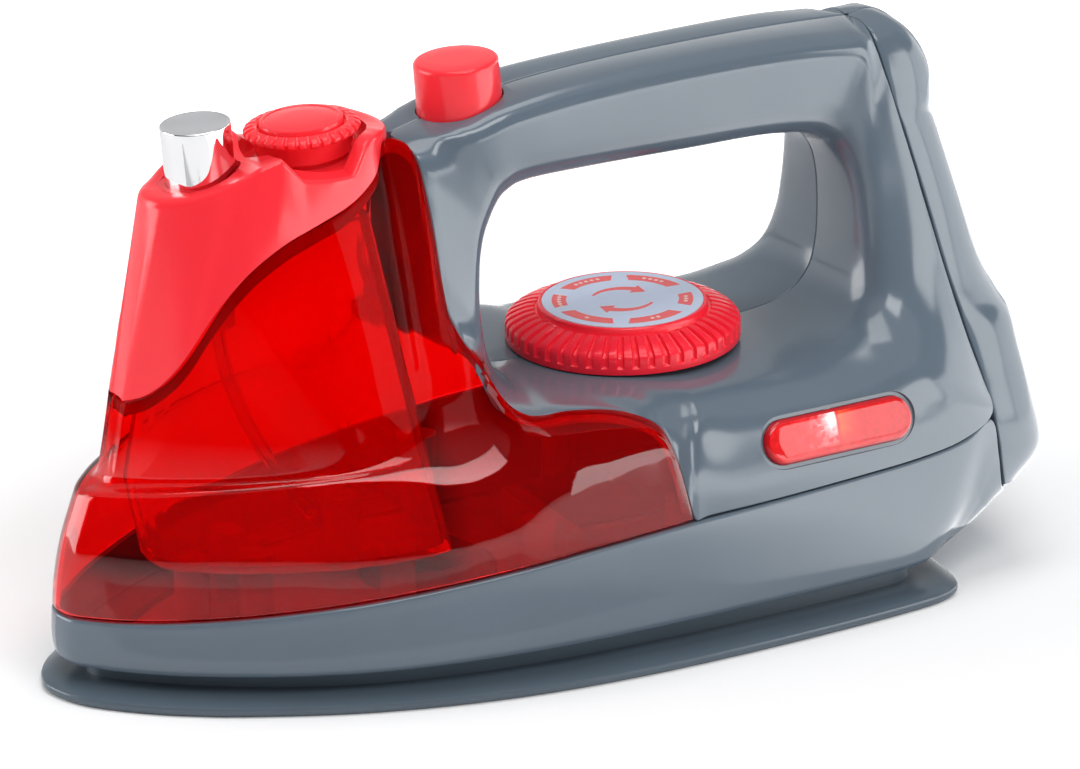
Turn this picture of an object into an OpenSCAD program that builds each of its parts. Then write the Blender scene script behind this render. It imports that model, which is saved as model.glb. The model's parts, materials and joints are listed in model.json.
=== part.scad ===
// Toy iron: sole plate, body shells, tank and head, with four working controls.
// Lengths are in millimetres and stand on the table plane; the nose points to minus X.

/* [Body] */
// overall length from nose to heel
body_length = 241; // [220:1:262]
// greatest width of the sole plate
sole_width = 110.4; // [102:0.2:120]
// height of the handle top above the table
handle_height = 129; // [120:0.5:140]
// width of the handle grip
handle_width = 27.6; // [26:0.2:29]
// wall of the grey shells
wall = 2; // [1.7:0.1:2.2]
// wall of the red shroud and spray head
thin_wall = 1.2; // [1:0.05:1.4]
// thickness of each shell edge along a seam
lip = 0.9; // [0.7:0.05:1]
// open line between two shells
seam_gap = 0.5; // [0.4:0.05:0.7]

/* [Sole plate] */
// height where the bevel under the flange ends
flange_low = 1.1; // [0.8:0.1:1.4]
// height of the flange edge
flange_high = 2.3; // [2:0.1:2.8]
// height of the flange at the riser
flange_top = 3.1; // [2.9:0.1:3.6]
// bevel under the flange edge
flange_bevel = 1; // [0.6:0.1:1.4]
// slope width on top of the flange
flange_slope = 3; // [2:0.1:3.6]
// thickness of the inner frame plate
frame_thickness = 2; // [1.6:0.1:2.4]
// diameter of the frame posts
post_diameter = 8; // [7:0.1:8.6]

/* [Dial] */
// diameter of the ribbed dial
dial_diameter = 54.4; // [50:0.2:57]
// height of the dial above the deck
dial_height = 8.9; // [8.6:0.1:10.5]
// ribs round the dial
dial_ribs = 48; // [24:2:60]
// width of a groove between two ribs
dial_groove = 1.5; // [1:0.1:1.8]
// depth of a groove between two ribs
dial_groove_depth = 0.8; // [0.5:0.1:1]
// diameter of the label disc
label_diameter = 37.2; // [34:0.2:38]
// thickness of the label disc
label_thickness = 0.5; // [0.4:0.05:0.7]
// diameter of the dial post
dial_post = 8; // [7:0.1:8.6]
// forward lean of the dial axis in degrees
dial_lean = 1.2; // [0:0.1:4]

/* [Handle button] */
// diameter of the handle button
button_diameter = 19.5; // [18:0.1:20]
// height of the handle button above the handle
button_height = 11.8; // [10:0.1:13]
// travel of the handle button
button_travel = 3; // [2:0.1:3]
// forward lean of the handle button in degrees
button_lean = 4.9; // [3:0.1:6]

/* [Spray button] */
// diameter of the spray button
spray_diameter = 15.6; // [15:0.1:16.6]
// height of the spray button above the spray head
spray_height = 13.1; // [11:0.1:14]
// travel of the spray button
spray_travel = 4; // [3:0.1:4]
// forward lean of the spray button in degrees
spray_lean = 5; // [4:0.1:7]

/* [Filler cap] */
// diameter over the knurled rim
filler_diameter = 26; // [24:0.1:27]
// height of the filler cap above its seat
filler_height = 9.1; // [8.8:0.1:10]
// knurls round the filler cap
filler_knurls = 30; // [20:2:36]
// forward lean of the filler cap in degrees
filler_lean = 4.9; // [3:0.1:6]

/* [Signal lens] */
// length of the lens
lens_length = 40; // [36:0.2:42]
// height of the lens
lens_height = 10.4; // [9:0.1:11]
// margin of the recess round the lens
lens_margin = 1.3; // [0.8:0.1:1.6]

/* [Batteries] */
// diameter of a battery cell
cell_diameter = 14; // [13.4:0.1:14.4]
// length of a battery cell
cell_length = 50.8; // [49:0.2:51]

/* [Fits] */
// radial clearance of a part that slides or turns
running_fit = 0.06; // [0.03:0.01:0.09]
// clearance round a part that is only passed through
pass_fit = 0.3; // [0.2:0.05:0.4]

/* [Hidden] */

// Each table row is one section of a skin; a point is [length, half width, height, corner reach] as shares.
// grey shell: sections from the finger opening out to the seams
shell_shares = [
    [[0.4627, 0, 0.7907, 0], [0.4589, 0.2536, 0.7953, 0.163],
        [0.4295, 0.2681, 0.9426, 0.1], [0.39, 0, 0.9295, 0]],
    [[0.473, 0, 0.8016, 0], [0.4697, 0.2536, 0.8047, 0.163],
        [0.4523, 0.2645, 0.9581, 0.1], [0.4315, 0, 0.9481, 0]],
    [[0.4938, 0, 0.8078, 0], [0.4921, 0.2518, 0.8093, 0.163],
        [0.4855, 0.2591, 0.9682, 0.1], [0.4772, 0, 0.9674, 0]],
    [[0.5311, 0, 0.8109, 0], [0.5311, 0.2482, 0.8109, 0.163],
        [0.5295, 0.2518, 0.9775, 0.1], [0.527, 0, 0.9791, 0]],
    [[0.5892, 0, 0.8124, 0], [0.5892, 0.2446, 0.8124, 0.163],
        [0.5892, 0.2482, 0.986, 0.1], [0.5892, 0, 0.9884, 0]],
    [[0.6515, 0, 0.814, 0], [0.6515, 0.2464, 0.814, 0.163],
        [0.6535, 0.25, 0.9922, 0.1], [0.6556, 0, 0.9946, 0]],
    [[0.7054, 0, 0.8155, 0], [0.7054, 0.2518, 0.8171, 0.163],
        [0.7137, 0.2554, 0.9961, 0.1], [0.7178, 0, 0.9984, 0]],
    [[0.7469, 0, 0.8132, 0], [0.7494, 0.2627, 0.8194, 0.163],
        [0.7676, 0.2627, 0.9969, 0.1], [0.7759, 0, 1, 0]],
    [[0.7759, 0, 0.8054, 0], [0.7801, 0.2717, 0.8163, 0.163],
        [0.8091, 0.2681, 0.9922, 0.1], [0.8216, 0, 0.9992, 0]],
    [[0.7934, 0, 0.7946, 0], [0.7983, 0.2844, 0.8062, 0.154],
        [0.8315, 0.2699, 0.986, 0.1], [0.8469, 0, 0.9977, 0]],
    [[0.8041, 0, 0.7783, 0], [0.8091, 0.3007, 0.7876, 0.154],
        [0.8398, 0.2826, 0.9535, 0.091], [0.8481, 0.1739, 0.9891, 0]],
    [[0.8124, 0, 0.7504, 0], [0.8166, 0.3261, 0.755, 0.145],
        [0.844, 0.308, 0.8682, 0.109], [0.8556, 0.2717, 0.9147, 0]],
    [[0.8174, 0, 0.7054, 0], [0.8212, 0.3569, 0.7085, 0.145],
        [0.849, 0.3478, 0.7907, 0.109], [0.868, 0.3261, 0.8217, 0]],
    [[0.8191, 0, 0.6473, 0], [0.8224, 0.3895, 0.6473, 0.145],
        [0.8564, 0.3986, 0.6977, 0.109], [0.8863, 0.3949, 0.686, 0]],
    [[0.8183, 0, 0.593, 0], [0.8207, 0.4275, 0.5876, 0.163],
        [0.8631, 0.471, 0.6008, 0.145], [0.9004, 0.471, 0.562, 0]],
    [[0.8124, 0, 0.5395, 0], [0.8141, 0.4891, 0.5318, 0.181],
        [0.8664, 0.5797, 0.5078, 0.163], [0.9112, 0.5761, 0.4496, 0]],
    [[0.7975, 0, 0.5023, 0], [0.8, 0.5725, 0.4915, 0.199],
        [0.8573, 0.7029, 0.4457, 0.181], [0.9187, 0.6667, 0.3721, 0]],
    [[0.7776, 0, 0.4822, 0], [0.7801, 0.6341, 0.4713, 0.199],
        [0.8382, 0.779, 0.4155, 0.181], [0.9212, 0.7355, 0.3147, 0]],
    [[0.7552, 0, 0.4721, 0], [0.7573, 0.6739, 0.4574, 0.181],
        [0.7967, 0.8152, 0.3891, 0.181], [0.8797, 0.808, 0.2884, 0]],
    [[0.7261, 0, 0.4667, 0], [0.7261, 0.7101, 0.4481, 0.163],
        [0.7469, 0.8442, 0.3767, 0.181], [0.8216, 0.8496, 0.2767, 0]],
    [[0.6763, 0, 0.4651, 0], [0.6763, 0.7355, 0.4465, 0.163],
        [0.6805, 0.8623, 0.3643, 0.181], [0.7344, 0.8841, 0.2698, 0]],
    [[0.6307, 0, 0.4643, 0], [0.6224, 0.7464, 0.4481, 0.163],
        [0.6141, 0.8732, 0.3566, 0.163], [0.6473, 0.904, 0.2628, 0]],
    [[0.6058, 0, 0.4636, 0], [0.5954, 0.75, 0.4512, 0.163],
        [0.5809, 0.8696, 0.3721, 0.163], [0.5851, 0.9112, 0.2585, 0]],
    [[0.5996, 0, 0.4636, 0], [0.5871, 0.7319, 0.4527, 0.163],
        [0.5726, 0.8623, 0.3798, 0.163], [0.5685, 0.9149, 0.2574, 0]],
    [[0.5934, 0, 0.4636, 0], [0.5788, 0.6975, 0.4543, 0.163],
        [0.5664, 0.8478, 0.3953, 0.145], [0.5615, 0.8949, 0.3034, 0]],
    [[0.5768, 0, 0.4628, 0], [0.5643, 0.6159, 0.4574, 0.145],
        [0.5544, 0.7935, 0.4264, 0.145], [0.5538, 0.8442, 0.3783, 0]],
    [[0.556, 0, 0.462, 0], [0.5477, 0.471, 0.4597, 0.145],
        [0.5378, 0.7156, 0.4527, 0.109], [0.5443, 0.8007, 0.4232, 0]],
    [[0.5311, 0, 0.4605, 0], [0.5261, 0.3986, 0.4597, 0.145],
        [0.5187, 0.6703, 0.4597, 0.091], [0.524, 0.7609, 0.4464, 0]],
    [[0.5021, 0, 0.4589, 0], [0.5004, 0.3261, 0.4589, 0.145],
        [0.4938, 0.5797, 0.4605, 0.091], [0.498, 0.7246, 0.4609, 0]],
    [[0.4772, 0, 0.4574, 0], [0.4722, 0.2899, 0.4581, 0.145],
        [0.4631, 0.5072, 0.462, 0.091], [0.4584, 0.7065, 0.4696, 0]],
    [[0.4622, 0, 0.4605, 0], [0.4564, 0.2899, 0.4612, 0.145],
        [0.4398, 0.5072, 0.4651, 0.091], [0.4315, 0.6975, 0.4681, 0]],
    [[0.4498, 0, 0.4713, 0], [0.444, 0.2899, 0.4729, 0.127],
        [0.4241, 0.4801, 0.4791, 0.091], [0.412, 0.6703, 0.4743, 0]],
    [[0.4407, 0, 0.493, 0], [0.4349, 0.279, 0.4946, 0.127],
        [0.4133, 0.4348, 0.5039, 0.091], [0.3969, 0.6159, 0.5007, 0]],
    [[0.4357, 0, 0.5225, 0], [0.4299, 0.2681, 0.524, 0.109],
        [0.4083, 0.3732, 0.538, 0.091], [0.3922, 0.5344, 0.54, 0]],
    [[0.4332, 0, 0.5581, 0], [0.4274, 0.2609, 0.5597, 0.109],
        [0.4058, 0.3261, 0.5736, 0.091], [0.3837, 0.3986, 0.586, 0]],
    [[0.4324, 0, 0.6085, 0], [0.4261, 0.2536, 0.6101, 0.109],
        [0.4025, 0.2971, 0.6318, 0.091], [0.3748, 0.3351, 0.644, 0]],
    [[0.434, 0, 0.6667, 0], [0.4282, 0.25, 0.6698, 0.109],
        [0.3992, 0.2754, 0.7209, 0.091], [0.3703, 0.2899, 0.7607, 0]],
    [[0.439, 0, 0.7178, 0], [0.4336, 0.2482, 0.7225, 0.118],
        [0.3983, 0.2645, 0.8062, 0.109], [0.3636, 0.2627, 0.8454, 0]],
    [[0.4456, 0, 0.7519, 0], [0.4407, 0.25, 0.7566, 0.127],
        [0.4004, 0.2645, 0.8682, 0.127], [0.3589, 0.2264, 0.896, 0]],
    [[0.4523, 0, 0.7729, 0], [0.4481, 0.2518, 0.7783, 0.145],
        [0.4046, 0.2663, 0.9186, 0.118], [0.3531, 0.1087, 0.912, 0]],
    [[0.4573, 0, 0.7829, 0], [0.4535, 0.2536, 0.7876, 0.163],
        [0.4129, 0.2681, 0.9341, 0.109], [0.3593, 0, 0.9132, 0]]
];

// rear cover: sections from the seam to the middle of the back
cover_shares = [
    [[0.8473, 0.0145, 0.9969, 0], [0.8485, 0.0127, 0.9977, 0.001],
        [0.8498, 0.0072, 0.9981, 0.001], [0.851, 0, 0.9984, 0]],
    [[0.8485, 0.0815, 0.9977, 0], [0.8568, 0.0888, 1, 0.018],
        [0.8639, 0.0507, 1.0039, 0.027], [0.8672, 0, 1.0047, 0]],
    [[0.8481, 0.1739, 0.9891, 0], [0.8651, 0.192, 0.9845, 0.036],
        [0.8788, 0.1486, 0.9961, 0.054], [0.8838, 0, 0.9992, 0]],
    [[0.851, 0.2301, 0.9574, 0], [0.8797, 0.2536, 0.9442, 0.091],
        [0.9004, 0.1902, 0.9659, 0.091], [0.9037, 0, 0.9736, 0]],
    [[0.8556, 0.2717, 0.9147, 0], [0.8905, 0.2826, 0.8961, 0.127],
        [0.917, 0.2083, 0.9163, 0.109], [0.9195, 0, 0.9271, 0]],
    [[0.8606, 0.2971, 0.8713, 0], [0.8921, 0.308, 0.8527, 0.127],
        [0.9178, 0.2246, 0.8698, 0.109], [0.9203, 0, 0.8791, 0]],
    [[0.8647, 0.3134, 0.8419, 0], [0.8929, 0.3188, 0.8248, 0.127],
        [0.9162, 0.2319, 0.8372, 0.109], [0.9187, 0, 0.8434, 0]],
    [[0.8697, 0.3315, 0.8101, 0], [0.8988, 0.337, 0.7922, 0.127],
        [0.9228, 0.2464, 0.8, 0.109], [0.9253, 0, 0.8062, 0]],
    [[0.8863, 0.3949, 0.686, 0], [0.917, 0.3986, 0.6682, 0.145],
        [0.9419, 0.3007, 0.676, 0.127], [0.9452, 0, 0.6822, 0]],
    [[0.9004, 0.471, 0.562, 0], [0.9344, 0.4638, 0.5504, 0.163],
        [0.9627, 0.337, 0.5566, 0.127], [0.966, 0, 0.5628, 0]],
    [[0.9071, 0.529, 0.5, 0], [0.9477, 0.5145, 0.4946, 0.163],
        [0.9768, 0.3732, 0.4992, 0.127], [0.9801, 0, 0.5039, 0]],
    [[0.9112, 0.5761, 0.4496, 0], [0.9585, 0.5688, 0.4543, 0.163],
        [0.9851, 0.4239, 0.4589, 0.127], [0.9884, 0, 0.4636, 0]],
    [[0.917, 0.6449, 0.3876, 0], [0.9651, 0.6304, 0.3922, 0.163],
        [0.9867, 0.4819, 0.3953, 0.145], [0.99, 0, 0.4, 0]],
    [[0.9212, 0.7246, 0.3178, 0], [0.971, 0.6993, 0.3209, 0.163],
        [0.99, 0.5435, 0.3225, 0.163], [0.9938, 0, 0.3271, 0]],
    [[0.9253, 0.7536, 0.2589, 0], [0.9793, 0.7319, 0.2481, 0.163],
        [0.9967, 0.5725, 0.2481, 0.181], [1, 0, 0.2527, 0]],
    [[0.9278, 0.7609, 0.2217, 0], [0.9743, 0.7355, 0.2093, 0.163],
        [0.9909, 0.5761, 0.2124, 0.181], [0.995, 0, 0.2186, 0]],
    [[0.932, 0.7609, 0.1767, 0], [0.9519, 0.7355, 0.1752, 0.091],
        [0.9676, 0.5688, 0.1752, 0.163], [0.9734, 0, 0.1752, 0]]
];

// lower body: sections from the seam down to the lip on the riser
lower_shares = [
    [[0.0124, 0, 0.1473, 0], [0.0108, 0, 0.0853, 0.091], [0.0166, 0, 0.0527, 0.054],
        [0.034, 0, 0.0682, 0.027], [0.0643, 0, 0.0682, 0]],
    [[0.0166, 0.0833, 0.1481, 0], [0.0149, 0.087, 0.0853, 0.091], [0.0207, 0.0797, 0.0527, 0.054],
        [0.0379, 0.0657, 0.0682, 0.027], [0.0676, 0.0413, 0.0682, 0]],
    [[0.0274, 0.1522, 0.1496, 0], [0.0257, 0.1594, 0.0853, 0.091], [0.0307, 0.1449, 0.0527, 0.054],
        [0.0472, 0.1199, 0.0682, 0.027], [0.0758, 0.0763, 0.0682, 0]],
    [[0.0515, 0.2645, 0.1535, 0], [0.0498, 0.2754, 0.0853, 0.091], [0.0539, 0.2536, 0.0535, 0.054],
        [0.068, 0.2088, 0.0682, 0.027], [0.0925, 0.1308, 0.0682, 0]],
    [[0.0871, 0.3913, 0.1597, 0], [0.0855, 0.4058, 0.0868, 0.091], [0.0888, 0.3804, 0.0543, 0.054],
        [0.1003, 0.3234, 0.0682, 0.027], [0.1204, 0.2242, 0.0682, 0]],
    [[0.1369, 0.5326, 0.1698, 0], [0.1353, 0.5471, 0.0899, 0.091], [0.1378, 0.5217, 0.0558, 0.054],
        [0.1466, 0.4562, 0.0682, 0.027], [0.162, 0.3423, 0.0682, 0]],
    [[0.1909, 0.6558, 0.1822, 0], [0.1892, 0.6703, 0.093, 0.091], [0.1909, 0.6449, 0.0574, 0.054],
        [0.1981, 0.5756, 0.0682, 0.027], [0.2105, 0.4551, 0.0682, 0]],
    [[0.2531, 0.7645, 0.1961, 0], [0.2515, 0.779, 0.0969, 0.091], [0.2531, 0.7536, 0.0589, 0.054],
        [0.2583, 0.681, 0.0682, 0.027], [0.2673, 0.5547, 0.0682, 0]],
    [[0.3195, 0.8406, 0.2109, 0], [0.3178, 0.8551, 0.1023, 0.091], [0.3195, 0.8297, 0.0605, 0.054],
        [0.3231, 0.7553, 0.0682, 0.027], [0.3294, 0.6259, 0.0682, 0]],
    [[0.3942, 0.8913, 0.2264, 0], [0.3925, 0.9058, 0.1085, 0.091], [0.3942, 0.8804, 0.062, 0.054],
        [0.3963, 0.8049, 0.0682, 0.027], [0.4, 0.6736, 0.0682, 0]],
    [[0.473, 0.9149, 0.2419, 0], [0.4714, 0.9293, 0.1147, 0.091], [0.473, 0.9058, 0.0636, 0.054],
        [0.4741, 0.8298, 0.0682, 0.027], [0.4759, 0.6978, 0.0682, 0]],
    [[0.5643, 0.9167, 0.2558, 0], [0.5627, 0.9312, 0.1194, 0.091], [0.5643, 0.9094, 0.0651, 0.054],
        [0.5643, 0.8333, 0.0682, 0.027], [0.5643, 0.7011, 0.0682, 0]],
    [[0.6473, 0.9076, 0.2628, 0], [0.6456, 0.9239, 0.1209, 0.091], [0.6473, 0.9022, 0.0667, 0.054],
        [0.6466, 0.8261, 0.0682, 0.027], [0.6454, 0.694, 0.0682, 0]],
    [[0.7344, 0.8877, 0.2698, 0], [0.7303, 0.9094, 0.1225, 0.091], [0.7303, 0.8877, 0.0667, 0.054],
        [0.7286, 0.812, 0.0682, 0.027], [0.7255, 0.6804, 0.0682, 0]],
    [[0.8216, 0.8533, 0.2767, 0], [0.805, 0.8841, 0.1225, 0.091], [0.7967, 0.8659, 0.0667, 0.054],
        [0.7932, 0.7914, 0.0682, 0.027], [0.7871, 0.6618, 0.0682, 0]],
    [[0.8797, 0.8134, 0.2884, 0], [0.8506, 0.8514, 0.1318, 0.091], [0.8282, 0.8406, 0.0667, 0.054],
        [0.822, 0.7695, 0.0682, 0.027], [0.8111, 0.646, 0.0682, 0]],
    [[0.9178, 0.7464, 0.307, 0], [0.8838, 0.8043, 0.155, 0.109], [0.8448, 0.8007, 0.0667, 0.054],
        [0.8359, 0.7352, 0.0682, 0.027], [0.8205, 0.6214, 0.0682, 0]],
    [[0.9253, 0.7572, 0.245, 0], [0.8921, 0.7862, 0.1364, 0.091], [0.8498, 0.7717, 0.0667, 0.054],
        [0.8403, 0.708, 0.0682, 0.027], [0.8238, 0.5972, 0.0682, 0]],
    [[0.9311, 0.7609, 0.1736, 0], [0.8988, 0.7609, 0.1209, 0.072], [0.8539, 0.7355, 0.0667, 0.054],
        [0.8437, 0.6741, 0.0682, 0.027], [0.8258, 0.5674, 0.0682, 0]],
    [[0.9477, 0.6812, 0.1721, 0], [0.9112, 0.6703, 0.1194, 0.072], [0.8614, 0.6522, 0.0667, 0.054],
        [0.8491, 0.5984, 0.0682, 0.027], [0.8277, 0.5049, 0.0682, 0]],
    [[0.9602, 0.5435, 0.1721, 0], [0.9212, 0.5326, 0.1194, 0.072], [0.868, 0.5181, 0.0667, 0.054],
        [0.8539, 0.4737, 0.0682, 0.027], [0.8293, 0.3966, 0.0682, 0]],
    [[0.9685, 0.308, 0.1721, 0], [0.9286, 0.3007, 0.1194, 0.072], [0.873, 0.2899, 0.0667, 0.054],
        [0.8567, 0.2637, 0.0682, 0.027], [0.8282, 0.2183, 0.0682, 0]],
    [[0.9718, 0, 0.1721, 0], [0.932, 0, 0.1194, 0.072], [0.8755, 0, 0.0667, 0.054],
        [0.8581, 0, 0.0682, 0.027], [0.8278, 0, 0.0682, 0]]
];

// front shroud: sections from the seam up to the spray head and the shells
shroud_shares = [
    [[0.0124, 0, 0.1504, 0], [0.0166, 0, 0.2481, 0.163], [0.039, 0, 0.3612, 0.029],
        [0.0598, 0, 0.369, 0.036], [0.0805, 0, 0.5163, 0]],
    [[0.0166, 0.0833, 0.1512, 0], [0.0207, 0.0725, 0.2481, 0.163], [0.0423, 0.0616, 0.3636, 0.029],
        [0.0614, 0.0471, 0.3713, 0.036], [0.0801, 0.0362, 0.5163, 0]],
    [[0.0274, 0.1522, 0.1527, 0], [0.0315, 0.1377, 0.2504, 0.163], [0.0506, 0.1159, 0.3667, 0.029],
        [0.0672, 0.087, 0.3736, 0.036], [0.0787, 0.0725, 0.5193, 0]],
    [[0.0515, 0.2645, 0.1566, 0], [0.0548, 0.2428, 0.2543, 0.163], [0.0705, 0.2065, 0.3721, 0.029],
        [0.0838, 0.1594, 0.3783, 0.036], [0.0903, 0.1558, 0.5346, 0]],
    [[0.0871, 0.3913, 0.1628, 0], [0.0896, 0.3696, 0.2605, 0.163], [0.1012, 0.3116, 0.3798, 0.029],
        [0.1112, 0.2572, 0.3845, 0.036], [0.1022, 0.2373, 0.5656, 0]],
    [[0.1369, 0.5326, 0.1729, 0], [0.1386, 0.5072, 0.2682, 0.163], [0.1461, 0.4384, 0.3891, 0.029],
        [0.1519, 0.3913, 0.393, 0.04], [0.1151, 0.3098, 0.6126, 0]],
    [[0.1743, 0.6196, 0.1814, 0], [0.1759, 0.5942, 0.2744, 0.163], [0.1809, 0.5181, 0.3953, 0.029],
        [0.1842, 0.4746, 0.3992, 0.043], [0.1369, 0.3841, 0.6923, 0]],
    [[0.2075, 0.6884, 0.1891, 0], [0.2091, 0.663, 0.2791, 0.163], [0.2116, 0.5797, 0.4, 0.029],
        [0.2133, 0.5399, 0.4047, 0.051], [0.1677, 0.4167, 0.7578, 0]],
    [[0.2365, 0.7391, 0.1961, 0], [0.2382, 0.7138, 0.2837, 0.163], [0.2398, 0.6268, 0.4031, 0.04],
        [0.2407, 0.587, 0.4093, 0.072], [0.2036, 0.4167, 0.7999, 0]],
    [[0.2614, 0.7754, 0.2016, 0], [0.2631, 0.75, 0.2868, 0.163], [0.2656, 0.6667, 0.4016, 0.063],
        [0.2664, 0.6051, 0.4186, 0.109], [0.2384, 0.3986, 0.8225, 0]],
    [[0.2863, 0.8062, 0.207, 0], [0.288, 0.7826, 0.2899, 0.163], [0.2921, 0.7029, 0.3953, 0.1],
        [0.2938, 0.5978, 0.4341, 0.163], [0.2755, 0.3623, 0.8424, 0]],
    [[0.3112, 0.8333, 0.2124, 0], [0.3137, 0.8116, 0.293, 0.163], [0.3195, 0.7355, 0.3907, 0.127],
        [0.3212, 0.5616, 0.4543, 0.217], [0.3141, 0.2899, 0.8861, 0]],
    [[0.332, 0.8496, 0.2163, 0], [0.3353, 0.8297, 0.2946, 0.163], [0.3419, 0.7572, 0.3891, 0.127],
        [0.3427, 0.5181, 0.4729, 0.254], [0.3378, 0.1558, 0.9256, 0]],
    [[0.3469, 0.8605, 0.2194, 0], [0.3502, 0.8442, 0.2961, 0.163], [0.3568, 0.7681, 0.3907, 0.127],
        [0.3568, 0.4964, 0.4884, 0.254], [0.3589, 0.2264, 0.896, 0]],
    [[0.3627, 0.8714, 0.2225, 0], [0.366, 0.8551, 0.2984, 0.163], [0.3718, 0.779, 0.3953, 0.127],
        [0.3701, 0.5, 0.4992, 0.254], [0.3703, 0.2899, 0.7607, 0]],
    [[0.3776, 0.8804, 0.2256, 0], [0.3801, 0.8641, 0.3008, 0.163], [0.3842, 0.7899, 0.4, 0.127],
        [0.3809, 0.5326, 0.5023, 0.217], [0.3748, 0.3351, 0.644, 0]],
    [[0.3942, 0.8913, 0.2295, 0], [0.3959, 0.875, 0.3031, 0.163], [0.3975, 0.8043, 0.4078, 0.127],
        [0.3917, 0.6051, 0.4977, 0.163], [0.3837, 0.3986, 0.586, 0]],
    [[0.4108, 0.8986, 0.2326, 0], [0.4116, 0.8841, 0.3054, 0.163], [0.4108, 0.8188, 0.4155, 0.127],
        [0.4, 0.6812, 0.4853, 0.127], [0.3922, 0.5344, 0.54, 0]],
    [[0.4299, 0.904, 0.2364, 0], [0.4299, 0.8913, 0.3078, 0.163], [0.4274, 0.8297, 0.4217, 0.127],
        [0.4141, 0.7355, 0.4729, 0.091], [0.3969, 0.6159, 0.5007, 0]],
    [[0.4481, 0.9076, 0.2403, 0], [0.4473, 0.8967, 0.3101, 0.163], [0.4432, 0.837, 0.4248, 0.127],
        [0.4307, 0.7536, 0.4682, 0.072], [0.412, 0.6703, 0.4743, 0]],
    [[0.4664, 0.9112, 0.2434, 0], [0.4656, 0.9004, 0.3116, 0.163], [0.4606, 0.8442, 0.4264, 0.127],
        [0.4506, 0.7681, 0.4651, 0.072], [0.4315, 0.6975, 0.4681, 0]],
    [[0.4871, 0.9149, 0.2465, 0], [0.4863, 0.9058, 0.3132, 0.163], [0.4822, 0.8514, 0.4264, 0.127],
        [0.4755, 0.779, 0.4636, 0.072], [0.4584, 0.7065, 0.4696, 0]],
    [[0.5145, 0.9167, 0.2512, 0], [0.5137, 0.9076, 0.3132, 0.145], [0.5095, 0.8605, 0.4217, 0.109],
        [0.5054, 0.8007, 0.4558, 0.072], [0.498, 0.7246, 0.4609, 0]],
    [[0.5369, 0.9167, 0.2543, 0], [0.5361, 0.9094, 0.3101, 0.127], [0.5311, 0.8696, 0.4109, 0.109],
        [0.5278, 0.8297, 0.4403, 0.072], [0.524, 0.7609, 0.4464, 0]],
    [[0.5519, 0.9167, 0.2566, 0], [0.5502, 0.9112, 0.3008, 0.091], [0.5452, 0.8859, 0.3845, 0.072],
        [0.5427, 0.8623, 0.4124, 0.036], [0.5443, 0.8007, 0.4232, 0]],
    [[0.5593, 0.9167, 0.2581, 0], [0.5585, 0.913, 0.2868, 0.054], [0.5552, 0.8986, 0.3333, 0.054],
        [0.5527, 0.8841, 0.3643, 0.036], [0.5538, 0.8442, 0.3783, 0]],
    [[0.5643, 0.9167, 0.2589, 0], [0.5639, 0.9158, 0.2682, 0.009], [0.5627, 0.9094, 0.2822, 0.029],
        [0.5618, 0.9058, 0.2915, 0.009], [0.5615, 0.8949, 0.3034, 0]]
];

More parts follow.
